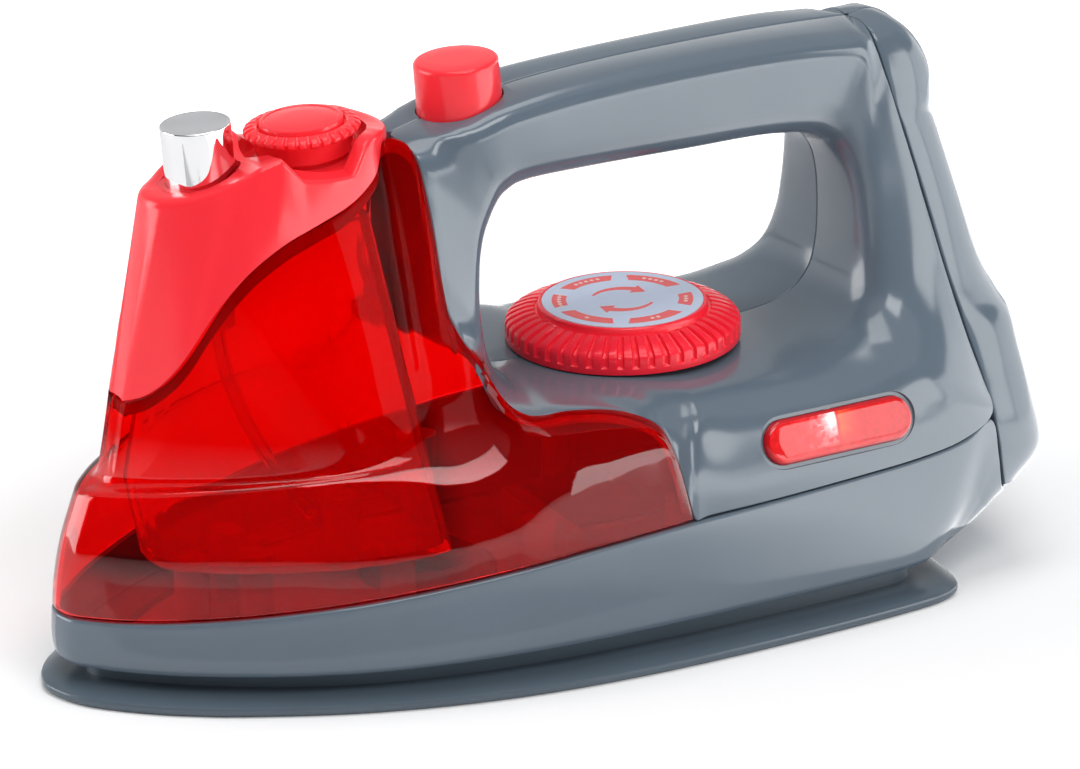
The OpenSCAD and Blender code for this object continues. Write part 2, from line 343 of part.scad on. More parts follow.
// spray head: sections from the lower edge over the rim to the middle
head_shares = [
    [[0.0805, 0, 0.5163, 0], [0.1108, 0, 0.8636, 0.027],
        [0.1162, 0, 0.8698, 0.022], [0.1307, 0, 0.8744, 0]],
    [[0.0801, 0.0362, 0.5163, 0], [0.1124, 0.0598, 0.8643, 0.027],
        [0.1178, 0.0543, 0.8705, 0.022], [0.1328, 0, 0.8744, 0]],
    [[0.0787, 0.0725, 0.5193, 0], [0.1195, 0.1123, 0.8659, 0.027],
        [0.1245, 0.1014, 0.8721, 0.022], [0.1369, 0, 0.8752, 0]],
    [[0.0903, 0.1558, 0.5346, 0], [0.1324, 0.1612, 0.8705, 0.027],
        [0.1365, 0.1449, 0.8767, 0.022], [0.1473, 0, 0.8767, 0]],
    [[0.1022, 0.2373, 0.5656, 0], [0.1456, 0.2047, 0.8798, 0.027],
        [0.1494, 0.1866, 0.8845, 0.022], [0.1598, 0, 0.8791, 0]],
    [[0.1151, 0.3098, 0.6126, 0], [0.1602, 0.2428, 0.8915, 0.027],
        [0.1627, 0.2192, 0.8938, 0.022], [0.1743, 0, 0.8829, 0]],
    [[0.1369, 0.3841, 0.6923, 0], [0.1768, 0.288, 0.9109, 0.027],
        [0.1788, 0.2591, 0.9101, 0.022], [0.1909, 0, 0.893, 0]],
    [[0.1677, 0.4167, 0.7578, 0], [0.1942, 0.3188, 0.9318, 0.027],
        [0.1959, 0.288, 0.9295, 0.022], [0.2054, 0, 0.9039, 0]],
    [[0.2036, 0.4167, 0.7999, 0], [0.2141, 0.3333, 0.9442, 0.027],
        [0.2158, 0.3007, 0.9403, 0.018], [0.2241, 0, 0.9132, 0]],
    [[0.2384, 0.3986, 0.8225, 0], [0.234, 0.3478, 0.9023, 0.024],
        [0.2357, 0.3188, 0.9023, 0.014], [0.2427, 0, 0.9085, 0]],
    [[0.2755, 0.3623, 0.8424, 0], [0.2614, 0.3478, 0.8961, 0.024],
        [0.2614, 0.3188, 0.8961, 0.014], [0.2635, 0, 0.9054, 0]],
    [[0.2988, 0.3261, 0.863, 0], [0.2846, 0.3333, 0.8946, 0.024],
        [0.283, 0.3043, 0.8946, 0.014], [0.2822, 0, 0.9085, 0]],
    [[0.3141, 0.2899, 0.8861, 0], [0.3054, 0.2826, 0.9395, 0.027],
        [0.3012, 0.2572, 0.9411, 0.022], [0.2946, 0, 0.9395, 0]],
    [[0.3266, 0.2174, 0.9218, 0], [0.3253, 0.2138, 0.9457, 0.027],
        [0.3212, 0.192, 0.9473, 0.022], [0.3071, 0, 0.9411, 0]],
    [[0.3378, 0.1558, 0.9194, 0], [0.3369, 0.1486, 0.9426, 0.027],
        [0.332, 0.1341, 0.945, 0.022], [0.3154, 0, 0.9426, 0]],
    [[0.3469, 0.0797, 0.9147, 0], [0.3461, 0.0761, 0.9395, 0.027],
        [0.3402, 0.0688, 0.9426, 0.022], [0.3216, 0, 0.9426, 0]],
    [[0.3502, 0, 0.9132, 0], [0.3494, 0, 0.938, 0.027], [0.3436, 0, 0.9419, 0.022], [0.3257, 0, 0.9426, 0]]
];

// half outline of the sole plate
sole_shares = [
    [0, 0], [0.0029, 0.0688], [0.0104, 0.1522], [0.0274, 0.2572], [0.0635, 0.4022], [0.1017, 0.5181],
    [0.1419, 0.6159], [0.2249, 0.7772], [0.3137, 0.8949], [0.4079, 0.9692], [0.5091, 1],
    [0.617, 0.9964], [0.7311, 0.9692], [0.8133, 0.9348], [0.8485, 0.9022], [0.8689, 0.8442],
    [0.8788, 0.7337], [0.8846, 0.5072], [0.8876, 0.2536], [0.8884, 0]
];

// half outline of the riser on the sole plate
riser_shares = [
    [0.0423, 0], [0.046, 0.059], [0.055, 0.1079], [0.0747, 0.1874], [0.1058, 0.2962], [0.1508, 0.425],
    [0.2015, 0.5426], [0.2608, 0.6464], [0.3249, 0.7199], [0.3973, 0.7689], [0.4746, 0.7937],
    [0.5643, 0.7971], [0.6463, 0.7899], [0.7277, 0.7759], [0.7915, 0.7559], [0.819, 0.7357],
    [0.8317, 0.704], [0.8358, 0.6776], [0.8388, 0.6449], [0.8432, 0.5728], [0.8472, 0.4526],
    [0.8489, 0.2513], [0.8498, 0]
];

// lengths that follow from the sizes above
half_width = sole_width / 2;
half_length = body_length / 2;
upper_half = handle_width * 2;
overrun = wall * 10;
tiny = 0.000001;
riser_top = handle_height * 0.06822;
frame_top = riser_top + frame_thickness;
tank_base = handle_height * 0.2093;
tank_top = handle_height * 0.8062;
post_top = handle_height * 0.2326;
ear_level = handle_height * 0.25;
post_radius = post_diameter / 2;
frame_long_share = 0.9;
frame_wide_share = 0.8;
frame_middle = [-half_length * 0.0042, 0];

// places as shares of length, half width and height
dial_place_share = [0.6053, 0, 0.4630];
button_place_share = [0.4315, 0, 0.9349];
spray_place_share = [0.1685, 0, 0.8806];
filler_place_share = [0.2722, 0, 0.8922];
lens_place_share = [0.7320, -0.8380, 0.3600];
battery_place_share = [0.6224, 0, 0];
speaker_place_share = [0.3942, 0, 0];
shell_post_share = [0.6017, 0.5435, 0];
ear_post_share = [0.4481, 0.5435, 0];
tank_post_front_share = [0.1992, 0.1449, 0];
tank_post_rear_share = [0.3320, 0.2717, 0];
base_screw_front_share = [0.1494, 0, 0];
base_screw_rear_share = [0.7801, 0, 0];
body_screw_shares = [[0.5311, 0.2318, 0.8915], [0.7137, 0.2318, 0.9031], [0.8631, 0.5300, 0.4880]];
head_post_share = [0.2137, 0.1449, 0.9340];
head_apex_share = [0.2199, 0, 0.7364];
tie_share = [0.8548, 0.1449, 0.6434];
tie_front_share = 0.8232;
tie_rear_share = 0.9500;
tie_width = post_diameter * 0.75;
tie_height = post_diameter * 0.4;

// widths follow the sole plate up to the deck and the grip from the handle's legs on
deck_share = 0.5;
grip_share = 0.7;

function half_at(level_share) =
    let (t = min(max((level_share - deck_share) / (grip_share - deck_share), 0), 1))
    half_width * (1 - t) + upper_half * t;

function at(s) = [s[0] * body_length - half_length, s[1] * half_at(s[2]), s[2] * handle_height];

function flip_side(s) = [s[0], -s[1], s[2]];

module place(share, lean) {
    translate(at(share))
        rotate([0, -lean, 0])
            children();
}

module both_sides(share) {
    translate(at(share))
        children();
    translate(at(flip_side(share)))
        children();
}

// skins: sections with rounded corners, an inner twin and the edges between them
function unit(v) = v / max(norm(v), tiny);

function table_point(q, side) = at([q[0], side * q[1], q[2]]);

function off_middle(q) = abs(q[1]) > tiny;

function end_trim(q, mode) = mode == 1 || (mode == 2 && off_middle(q)) ? seam_gap / 2 : 0;

function bend(p, a, q, r, before, after, steps) =
    let (s = a + unit(p - a) * min(r, norm(p - a) * before))
    let (e = a + unit(q - a) * min(r, norm(q - a) * after))
    [for (k = [0:steps]) let (t = k / steps) s * (1 - t) * (1 - t) + a * 2 * t * (1 - t) + e * t * t];

function section(row, side, steps, first, last) =
    let (n = len(row))
    let (p = [for (q = row) table_point(q, side)])
    let (head = p[0] + unit(p[1] - p[0]) * end_trim(row[0], first))
    let (tail = p[n - 1] + unit(p[n - 2] - p[n - 1]) * end_trim(row[n - 1], last))
    concat([head],
        [for (i = [1:n - 2])
            each bend(p[i - 1], p[i], p[i + 1], row[i][3] * half_at(row[i][2]),
                i == 1 ? 0.9 : 0.5, i == n - 2 ? 0.9 : 0.5, steps)],
        [tail]);

function grid_normal(g, i, j, closed) =
    let (nu = len(g))
    let (nv = len(g[0]))
    let (a = closed ? g[(i + nu - 1) % nu][j] : g[max(i - 1, 0)][j])
    let (b = closed ? g[(i + 1) % nu][j] : g[min(i + 1, nu - 1)][j])
    let (n = cross(b - a, g[i][min(j + 1, nv - 1)] - g[i][max(j - 1, 0)]))
    unit(abs(g[i][j][1]) < tiny ? [n[0], 0, n[2]] : n);

function depth_at(row, j, nv, thick, first, last) =
    j == 0 && end_trim(row[0], first) > 0 ? lip
    : j == nv - 1 && end_trim(row[len(row) - 1], last) > 0 ? lip
    : thick;

function inner_twin(g, rows, thick, out, closed, first, last) =
    let (nv = len(g[0]))
    [for (i = [0:len(g) - 1])
        [for (j = [0:nv - 1])
            g[i][j] - grid_normal(g, i, j, closed) * out * depth_at(rows[i], j, nv, thick, first, last)]];

function quad(a, b, c, d, turn) = turn ? [[a, b, c], [a, c, d]] : [[a, c, b], [a, d, c]];

function skin_index(i, j, nu, nv, weld) =
    let (r = i % nu)
    weld && j == nv - 1 && r > nu / 2 ? (nu - r) * nv + j : r * nv + j;

function skin_faces(nu, nv, out, closed, weld) =
    let (n = nu * nv)
    let (last = closed ? nu - 1 : nu - 2)
    let (k = function (i, j) skin_index(i, j, nu, nv, weld))
    concat(
        [for (i = [0:last]) for (j = [0:nv - 2])
            each quad(k(i, j), k(i + 1, j), k(i + 1, j + 1), k(i, j + 1), out < 0)],
        [for (i = [0:last]) for (j = [0:nv - 2])
            each quad(n + k(i, j), n + k(i + 1, j), n + k(i + 1, j + 1), n + k(i, j + 1), out > 0)],
        [for (i = [0:last])
            each quad(k(i + 1, 0), k(i, 0), n + k(i, 0), n + k(i + 1, 0), out < 0)],
        weld ? [] : [for (i = [0:last])
            each quad(k(i, nv - 1), k(i + 1, nv - 1), n + k(i + 1, nv - 1), n + k(i, nv - 1), out < 0)],
        closed ? [] : [for (j = [0:nv - 2])
            each quad(k(0, j), k(0, j + 1), n + k(0, j + 1), n + k(0, j), out < 0)],
        closed ? [] : [for (j = [0:nv - 2])
            each quad(k(nu - 1, j + 1), k(nu - 1, j), n + k(nu - 1, j), n + k(nu - 1, j + 1), out < 0)]);

module skin(rows, sides, steps, thick, out, closed, weld, first, last) {
    grid = [for (i = [0:len(rows) - 1]) section(rows[i], sides[i], steps, first, last)];
    twin = inner_twin(grid, rows, thick, out, closed, first, last);
    polyhedron(points = concat([for (r = grid) each r], [for (r = twin) each r]),
        faces = skin_faces(len(grid), len(grid[0]), out, closed, weld));
}

// closed core of a welded loop skin, set in by a depth and closed underneath to one point
module loop_core(rows, steps, depth, apex) {
    n = len(rows);
    all = concat(rows, [for (i = [1:n - 2]) rows[n - 1 - i]]);
    grid = [for (i = [0:len(all) - 1]) section(all[i], i < n ? -1 : 1, steps, 1, 0)];
    nu = len(grid);
    nv = len(grid[0]);
    k = function (i, j) skin_index(i, j, nu, nv, true);
    set_in = [for (i = [0:nu - 1]) for (j = [0:nv - 1]) grid[i][j] - grid_normal(grid, i, j, true) * depth];
    faces = concat(
        [for (i = [0:nu - 1]) for (j = [0:nv - 2])
            each quad(k(i, j), k(i + 1, j), k(i + 1, j + 1), k(i, j + 1), false)],
        [for (i = [0:nu - 1]) [k(i, 0), k(i + 1, 0), nu * nv]]);
    polyhedron(points = concat(set_in, [apex]), faces = faces);
}

module half_skin(rows, steps, thick, closed, first, last) {
    skin(rows, [for (r = rows) -1], steps, thick, 1, closed, false, first, last);
}

// near rows run from nose to heel, then the far rows run back
module loop_skin(rows, steps, thick, out, weld, first, last) {
    n = len(rows);
    skin(concat(rows, [for (i = [1:n - 2]) rows[n - 1 - i]]),
        concat([for (i = [1:n]) -1], [for (i = [1:n - 2]) 1]), steps, thick, out, true, weld, first, last);
}

// far rows run from the tongue end to the nose, then the near rows run back
module strip_skin(rows, steps, thick, first, last) {
    n = len(rows);
    skin(concat([for (i = [0:n - 2]) rows[n - 1 - i]], rows),
        concat([for (i = [1:n - 1]) 1], [for (i = [1:n]) -1]), steps, thick, 1, false, false, first, last);
}

// closed plan outline from a half outline of shares
function plan_loop(shares) =
    let (n = len(shares))
    concat([for (s = shares) [s[0] * body_length - half_length, -s[1] * half_width]],
        [for (i = [1:n - 2])
            let (s = shares[n - 1 - i])
            [s[0] * body_length - half_length, s[1] * half_width]]);

function inset_loop(loop, d) =
    let (n = len(loop))
    [for (i = [0:n - 1])
        let (t = unit(loop[(i + 1) % n] - loop[(i + n - 1) % n]))
        loop[i] + [-t[1], t[0]] * d];

// closed solid through plan outlines at rising heights
module stack(loops, heights) {
    n = len(loops[0]);
    m = len(loops);
    points = [for (k = [0:m - 1]) for (p = loops[k]) [p[0], p[1], heights[k]]];
    faces = concat([[for (i = [0:n - 1]) i]],
        [for (k = [0:m - 2]) for (i = [0:n - 1])
            each quad(k * n + i, k * n + (i + 1) % n, (k + 1) * n + (i + 1) % n, (k + 1) * n + i, false)],
        [[for (i = [0:n - 1]) m * n - 1 - i]]);
    polyhedron(points = points, faces = faces);
}

// round wire wound to a coil between two heights
module coil(radius, wire, low, high, turns) {
    sides = 6;
    rounds = 12;
    n = turns * rounds;
    points = [for (i = [0:n]) for (k = [0:sides - 1])
        let (a = 360 * i / rounds)
        let (b = 360 * k / sides)
        let (r = radius + wire * cos(b))
        [r * cos(a), r * sin(a), low + wire + (high - low - wire * 2) * i / n + wire * sin(b)]];
    faces = concat([[for (k = [0:sides - 1]) sides - 1 - k]],
        [for (i = [0:n - 1]) for (k = [0:sides - 1])
            each quad(i * sides + k, (i + 1) * sides + k, (i + 1) * sides + (k + 1) % sides,
                i * sides + (k + 1) % sides, false)],
        [[for (k = [0:sides - 1]) n * sides + k]]);
    polyhedron(points = points, faces = faces);
}

// cross-slot screw with its head seat at zero and its shaft pointing down
screw_shaft = post_diameter * 0.1625;
screw_head = post_diameter * 0.35;
screw_head_height = post_diameter * 0.28;
screw_hole = screw_shaft + pass_fit / 2;
screw_well = screw_head + pass_fit;

module screw(length) {
    slot = screw_head * 0.28;
    difference() {
        union() {
            cylinder(h = screw_head_height, r = screw_head, $fn = 40);
            translate([0, 0, -length])
                cylinder(h = length + screw_head_height / 2, r = screw_shaft, $fn = 32);
        }
        for (a = [0, 90])
            rotate([0, 0, a])
                translate([-screw_head * 0.7, -slot / 2, screw_head_height * 0.5])
                    cube([screw_head * 1.4, slot, overrun]);
    }
}

// battery bay
contact_thickness = wall * 0.3;
cell_radius = cell_diameter / 2;
bay_length = cell_length + contact_thickness * 2;
bay_width = cell_diameter * 2 + wall;
door_ledge = wall * 1.5;
door_tab = wall * 4;
door_top = riser_top * 0.42;
door_low = riser_top * 0.03;
door_gap = wall * 0.15;
cell_nub = wall * 0.7;
box_wall = wall * 0.8;
cell_height = door_top + cell_radius;
box_top = cell_height + cell_radius + wall * 0.7 + box_wall;
door_screw_share = 0.5;
door_screw_reach = bay_length / 2 + door_ledge + door_tab * door_screw_share;
door_screw_place = at(battery_place_share) + [door_screw_reach, 0, 0];

module bay_block(grow, low, high, tab) {
    translate(at(battery_place_share) + [-bay_length / 2 - grow, -bay_width / 2 - grow, low])
        cube([bay_length + grow * 2 + tab, bay_width + grow * 2, high - low]);
}

// screws that hold the sole plate to the frame
base_screw_seat = riser_top * 0.4;
base_screw_length = post_top * 0.6;

base_rear_offset = bay_width / 2 + door_ledge + post_radius;

module base_rear_places() {
    for (side = [-1, 1])
        translate(at(base_screw_rear_share) + [0, side * base_rear_offset, 0])
            children();
}

module base_screw_places() {
    translate(at(base_screw_front_share))
        children();
    base_rear_places()
        children();
}

speaker_radius = sole_width * 0.145;
speaker_height = sole_width * 0.054;
sound_hole_radius = sole_width * 0.0109;

module sound_hole() {
    translate([0, 0, -wall])
        cylinder(h = frame_top + wall * 2, r = sound_hole_radius, $fn = 24);
}

module sound_holes() {
    translate(at(speaker_place_share)) {
        sound_hole();
        for (a = [0:60:300])
            rotate([0, 0, a])
                translate([speaker_radius * 0.45, 0, 0])
                    sound_hole();
    }
}

module sole_plate() {
    outline = plan_loop(sole_shares);
    color("slategray")
        difference() {
            union() {
                stack([inset_loop(outline, flange_bevel), outline, inset_loop(outline, flange_bevel * 0.2),
                    inset_loop(outline, flange_slope)], [0, flange_low, flange_high, flange_top]);
                translate([0, 0, flange_low])
                    linear_extrude(riser_top - flange_low)
                        polygon(plan_loop(riser_shares));
            }
            bay_block(0, -wall, riser_top + wall, 0);
            bay_block(door_ledge, -wall, door_top, door_tab);
            translate(door_screw_place)
                translate([0, 0, -wall])
                    cylinder(h = riser_top + wall * 2, r = screw_hole, $fn = 32);
            base_screw_places() {
                translate([0, 0, -wall])
                    cylinder(h = wall + base_screw_seat, r = screw_well, $fn = 40);
                cylinder(h = riser_top + wall, r = screw_hole, $fn = 32);
            }
            sound_holes();
        }
}

door_screw_seat = door_top * 0.68;

module battery_door() {
    color("slategray")
        difference() {
            bay_block(door_ledge - door_gap, door_low, door_top, door_tab);
            translate(door_screw_place) {
                translate([0, 0, -overrun / 2])
                    cylinder(h = overrun, r = screw_hole, $fn = 32);
                translate([0, 0, -overrun])
                    cylinder(h = overrun + door_screw_seat, r = screw_well, $fn = 40);
            }
        }
}

module lower_body() {
    color("slategray")
        loop_skin(lower_shares, 2, wall, -1, false, 1, 0);
}

module frame_post(share, top) {
    both_sides(share)
        translate([0, 0, riser_top])
            cylinder(h = top - riser_top, r = post_radius, $fn = 40);
}

module inner_frame() {
    color("dimgray")
        difference() {
            union() {
                translate([0, 0, riser_top])
                    linear_extrude(frame_thickness)
                        polygon([for (p = plan_loop(riser_shares)) frame_middle
                            + [(p[0] - frame_middle[0]) * frame_long_share, p[1] * frame_wide_share]]);
                frame_post(shell_post_share, post_top);
                frame_post(ear_post_share, ear_level);
                frame_post(tank_post_front_share, tank_base);
                frame_post(tank_post_rear_share, tank_base);
                base_rear_places()
                    translate([0, 0, riser_top])
                        cylinder(h = post_top - riser_top, r = post_radius, $fn = 40);
                translate(at(base_screw_front_share) + [0, 0, riser_top])
                    cylinder(h = tank_base - wall - riser_top, r = post_radius, $fn = 40);
            }
            bay_block(box_wall + pass_fit, -overrun, overrun, 0);
            translate(door_screw_place)
                cylinder(h = overrun, r = screw_well, $fn = 40);
            base_screw_places()
                cylinder(h = base_screw_seat + base_screw_length + wall, r = screw_hole, $fn = 32);
            sound_holes();
        }
}

// controls: shared sizes
button_radius = button_diameter / 2;
sleeve_wall = button_diameter * 0.07;
sleeve_outer = button_diameter / 2 + running_fit + sleeve_wall;
web_level = -button_diameter * 0.667;
sleeve_top = -button_diameter * 0.282;
button_low = -button_diameter * 0.462;
switch_height = button_diameter * 0.18;
plunger_top = button_low + button_diameter * 0.04;
button_wall = button_diameter * 0.08;
web_front = button_diameter * 0.62;
web_rear = button_diameter * 0.15;
web_reach_share = 0.235;

dial_radius = dial_diameter / 2;
dial_seat = -wall * 0.4;
dial_post_radius = dial_post / 2;
dial_bush_radius = dial_post_radius * 1.475;
dial_flange = dial_post_radius * 3;
dial_flange_top = dial_height * 0.05;
dial_washer_top = dial_height * 0.1;
dial_post_top = dial_height * 0.66;

boss_radius = post_radius * 0.8;
screw_seat_share = 0.11;
screw_tip_share = 0.15;
screw_end_share = 0.17;

function screw_seat(s) = (s[1] - screw_seat_share) * half_at(s[2]);

lens_lean = 19;
lens_turn = 3.2;
lens_front = lens_height * 0.07;
lens_back = -lens_height * 0.4;
lens_recess = -lens_height * 0.03;

module pill(length, height, low, high) {
    translate([0, 0, low])
        linear_extrude(high - low) {
            square([length - height, height], center = true);
            translate([(length - height) / 2, 0])
                circle(d = height, $fn = 64);
            translate([-(length - height) / 2, 0])
                circle(d = height, $fn = 64);
        }
}

module at_lens() {
    translate(at(lens_place_share))
        rotate([0, 0, lens_turn])
            rotate([90 - lens_lean, 0, 0])
                children();
}

module along_side(share, side) {
    translate(at([share[0], 0, share[2]]))
        rotate([side * 90, 0, 0])
            children();
}

// left half with its bosses, before the openings are cut
module shell_body() {
    web_reach = upper_half * web_reach_share;
    half_skin(shell_shares, 3, wall, true, 0, 2);
    for (s = body_screw_shares)
        along_side(s, 1)
            cylinder(h = s[1] * half_at(s[2]), r = boss_radius, $fn = 40);
    translate(at([shell_post_share[0], -shell_post_share[1], 0]) + [0, 0, post_top])
        cylinder(h = handle_height * 0.4457 - post_top, r = boss_radius, $fn = 40);
    place(button_place_share, button_lean)
        translate([-web_front, -web_reach, web_level - wall])
            cube([web_front + web_rear, web_reach, wall]);
    translate(at([tie_front_share, -tie_share[1], tie_share[2]]) - [0, tie_width / 2, tie_height / 2])
        cube([(tie_share[0] - tie_front_share) * body_length, tie_width, tie_height]);
}

module shell_cuts() {
    place(button_place_share, button_lean)
        translate([0, 0, sleeve_top])
            cylinder(h = overrun, r = button_radius + pass_fit, $fn = 64);
    place(button_place_share, button_lean)
        translate([0, 0, web_level])
            cylinder(h = sleeve_top - web_level, r = sleeve_outer + pass_fit, $fn = 64);
    place(dial_place_share, dial_lean) {
        cylinder(h = overrun, r = dial_radius + pass_fit * 2, $fn = 96);
        translate([0, 0, dial_seat])
            cylinder(h = overrun, r = dial_flange + pass_fit, $fn = 64);
        translate([0, 0, -overrun])
            cylinder(h = overrun * 2, r = dial_bush_radius, $fn = 48);
    }
}

module shell_left() {
    color("slategray")
        difference() {
            shell_body();
            shell_cuts();
            for (s = body_screw_shares)
                along_side(s, 1)
                    translate([0, 0, -overrun])
                        cylinder(h = overrun + half_at(s[2]) * screw_end_share, r = screw_hole, $fn = 32);
            at_lens() {
                pill(lens_length, lens_height, -overrun, overrun);
                pill(lens_length + lens_margin * 2, lens_height + lens_margin * 2, lens_recess, overrun);
            }
        }
}

module shell_right() {
    color("slategray")
        difference() {
            mirror([0, 1, 0])
                shell_body();
            shell_cuts();
            for (s = body_screw_shares)
                along_side(s, -1) {
                    translate([0, 0, -overrun])
                        cylinder(h = overrun + half_width, r = screw_hole, $fn = 32);
                    translate([0, 0, screw_seat(s)])
                        cylinder(h = overrun, r = screw_well, $fn = 40);
                }
        }
}

module cover_half() {
    half_skin(cover_shares, 3, wall, false, 1, 0);
    translate(at([tie_share[0], -tie_share[1], tie_share[2]]) - [0, tie_width / 2, tie_height / 2])
        cube([(tie_rear_share - tie_share[0]) * body_length, tie_width, tie_height]);
}

module rear_cover_left() {
    color("slategray")
        cover_half();
}

module rear_cover_right() {
    color("slategray")
        mirror([0, 1, 0])
            cover_half();
}

ear_outer_share = 0.895;
ear_width = post_diameter * 0.6;
ear_height = post_diameter * 0.4;

module shroud_ear(side) {
    translate([at(ear_post_share)[0] - ear_width / 2, 0, ear_level])
        mirror([0, side, 0])
            translate([0, at(ear_post_share)[1] - post_radius, 0])
                cube([ear_width, half_width * ear_outer_share - at(ear_post_share)[1] + post_radius,
                    ear_height]);
}

module front_shroud() {
    color("red", 0.6) {
        strip_skin(shroud_shares, 2, thin_wall, 1, 1);
        shroud_ear(0);
        shroud_ear(1);
    }
}

// tank: three levels of one outline
tank_outline_shares = [[0, 0], [0.01, 0.2], [0.05, 0.33], [0.18, 0.55], [0.36, 0.76], [0.55, 0.91],
    [0.73, 0.98], [0.9, 1], [0.975, 0.95], [1, 0.85], [1, 0.4], [1, 0]];
tank_level_shares = [[0.2093, 0.1062, 0.3693, 0.5072], [0.3566, 0.0892, 0.3548, 0.4438],
    [0.8062, 0.1328, 0.3133, 0.2446]];
tank_wall = thin_wall * 1.2;

function tank_loop(level, d) =
    let (front = level[1] * body_length - half_length + d)
    let (back = level[2] * body_length - half_length - d)
    let (wide = level[3] * half_at(level[0]) - d)
    let (n = len(tank_outline_shares))
    [for (k = [0:n * 2 - 3])
        let (s = tank_outline_shares[k < n ? k : n * 2 - 2 - k])
        [front + (back - front) * s[0], (k < n ? -1 : 1) * wide * s[1]]];

module tank_solid(d) {
    stack([for (l = tank_level_shares) tank_loop(l, d)],
        [tank_base + d, tank_level_shares[1][0] * handle_height, tank_top - d]);
}

spray_radius = spray_diameter / 2;
barrel_outer = spray_radius * 1.2;
spray_low = -spray_diameter * 0.36;
barrel_floor = spray_low - spray_travel - wall * 0.32;
barrel_low = barrel_floor - wall * 0.8;
tube_outer = spray_radius * 0.55;
piston_radius = spray_radius * 0.375;
tube_low = -spray_diameter * 2.2;
piston_low = -spray_diameter * 1.62;
piston_high = -spray_diameter * 1.25;
stem_radius = spray_radius * 0.25;
spray_wall = spray_diameter * 0.08;
dip_radius = spray_radius * 0.2;
dip_bore = dip_radius * 0.6;

filler_radius = filler_diameter / 2;
filler_well = filler_radius + wall * 0.6;
neck_radius = filler_radius * 0.585;
neck_bore = filler_radius * 0.446;
neck_low = -filler_height * 1.6;
neck_flange = filler_radius * 0.7;
neck_flange_top = filler_height * 0.13;

module water_tank() {
    color("red", 0.6)
        difference() {
            tank_solid(0);
            tank_solid(tank_wall);
            place(spray_place_share, spray_lean) {
                translate([0, 0, tube_low + tube_outer])
                    cylinder(h = -tube_low, r = tube_outer + pass_fit, $fn = 48);
                translate([0, 0, barrel_low - pass_fit])
                    cylinder(h = overrun, r = barrel_outer + pass_fit, $fn = 48);
            }
            place(filler_place_share, filler_lean)
                translate([0, 0, neck_low * 2])
                    cylinder(h = -neck_low * 2, r = neck_radius + pass_fit, $fn = 48);
        }
}

module spray_head() {
    color("tomato")
        difference() {
            union() {
                loop_skin(head_shares, 2, thin_wall, 1, true, 1, 0);
                both_sides([head_post_share[0], head_post_share[1], 0])
                    translate([0, 0, tank_top])
                        cylinder(h = at(head_post_share)[2] - tank_top, r = boss_radius * 0.7, $fn = 32);
                intersection() {
                    loop_core(head_shares, 2, thin_wall / 2, at(head_apex_share));
                    place(filler_place_share, filler_lean)
                        translate([0, 0, -wall])
                            cylinder(h = overrun, r = filler_well + thin_wall, $fn = 64);
                }
            }
            place(spray_place_share, spray_lean)
                translate([0, 0, barrel_low])
                    cylinder(h = overrun * 2, r = barrel_outer, $fn = 64);
            place(filler_place_share, filler_lean) {
                cylinder(h = overrun, r = filler_well, $fn = 64);
                translate([0, 0, -overrun])
                    cylinder(h = overrun * 2, r = neck_radius, $fn = 64);
            }
        }
}

module pump_barrel() {
    color("firebrick")
        place(spray_place_share, spray_lean)
            rotate_extrude($fn = 64)
                polygon([[piston_radius + running_fit, tube_low + wall],
                    [piston_radius + running_fit, barrel_floor], [spray_radius + running_fit, barrel_floor],
                    [spray_radius + running_fit, 0], [barrel_outer, 0], [barrel_outer, barrel_low],
                    [tube_outer, barrel_low], [tube_outer, tube_low],
                    [dip_bore, tube_low], [dip_bore, tube_low + wall]]);
}

module spray_button() {
    edge = spray_diameter * 0.04;
    roof = spray_height - spray_wall;
    color("silver")
        place(spray_place_share, spray_lean)
            rotate_extrude($fn = 64)
                polygon([[0, roof], [0, spray_height], [spray_radius - edge, spray_height],
                    [spray_radius - edge * 0.3, spray_height - edge * 0.3],
                    [spray_radius, spray_height - edge],
                    [spray_radius, spray_low], [spray_radius - spray_wall, spray_low],
                    [spray_radius - spray_wall, roof]]);
}

module pump_piston() {
    color("whitesmoke")
        place(spray_place_share, spray_lean)
            rotate_extrude($fn = 48)
                polygon([[0, piston_low], [piston_radius, piston_low], [piston_radius, piston_high],
                    [stem_radius, piston_high], [stem_radius, spray_height - spray_wall],
                    [0, spray_height - spray_wall]]);
}

module spray_spring() {
    color("lightgray")
        place(spray_place_share, spray_lean)
            coil(spray_radius * 0.65, spray_radius * 0.055, barrel_floor, spray_height - spray_wall, 6);
}

// bends of the dip tube behind and below its foot
dip_bend_shares = [[0.224, 0, 0.3566], [0.2722, 0, 0.2364]];

function dip_path() =
    let (axis = [-sin(spray_lean), 0, cos(spray_lean)])
    let (foot = at(spray_place_share) + tube_low * axis)
    let (a = foot - axis * wall)
    let (b = foot - axis * spray_diameter)
    let (c = at(dip_bend_shares[0]))
    let (d = at(dip_bend_shares[1]))
    concat([foot], [for (t = [0:0.125:1])
        a * pow(1 - t, 3) + b * 3 * t * pow(1 - t, 2) + c * 3 * t * t * (1 - t) + d * pow(t, 3)]);

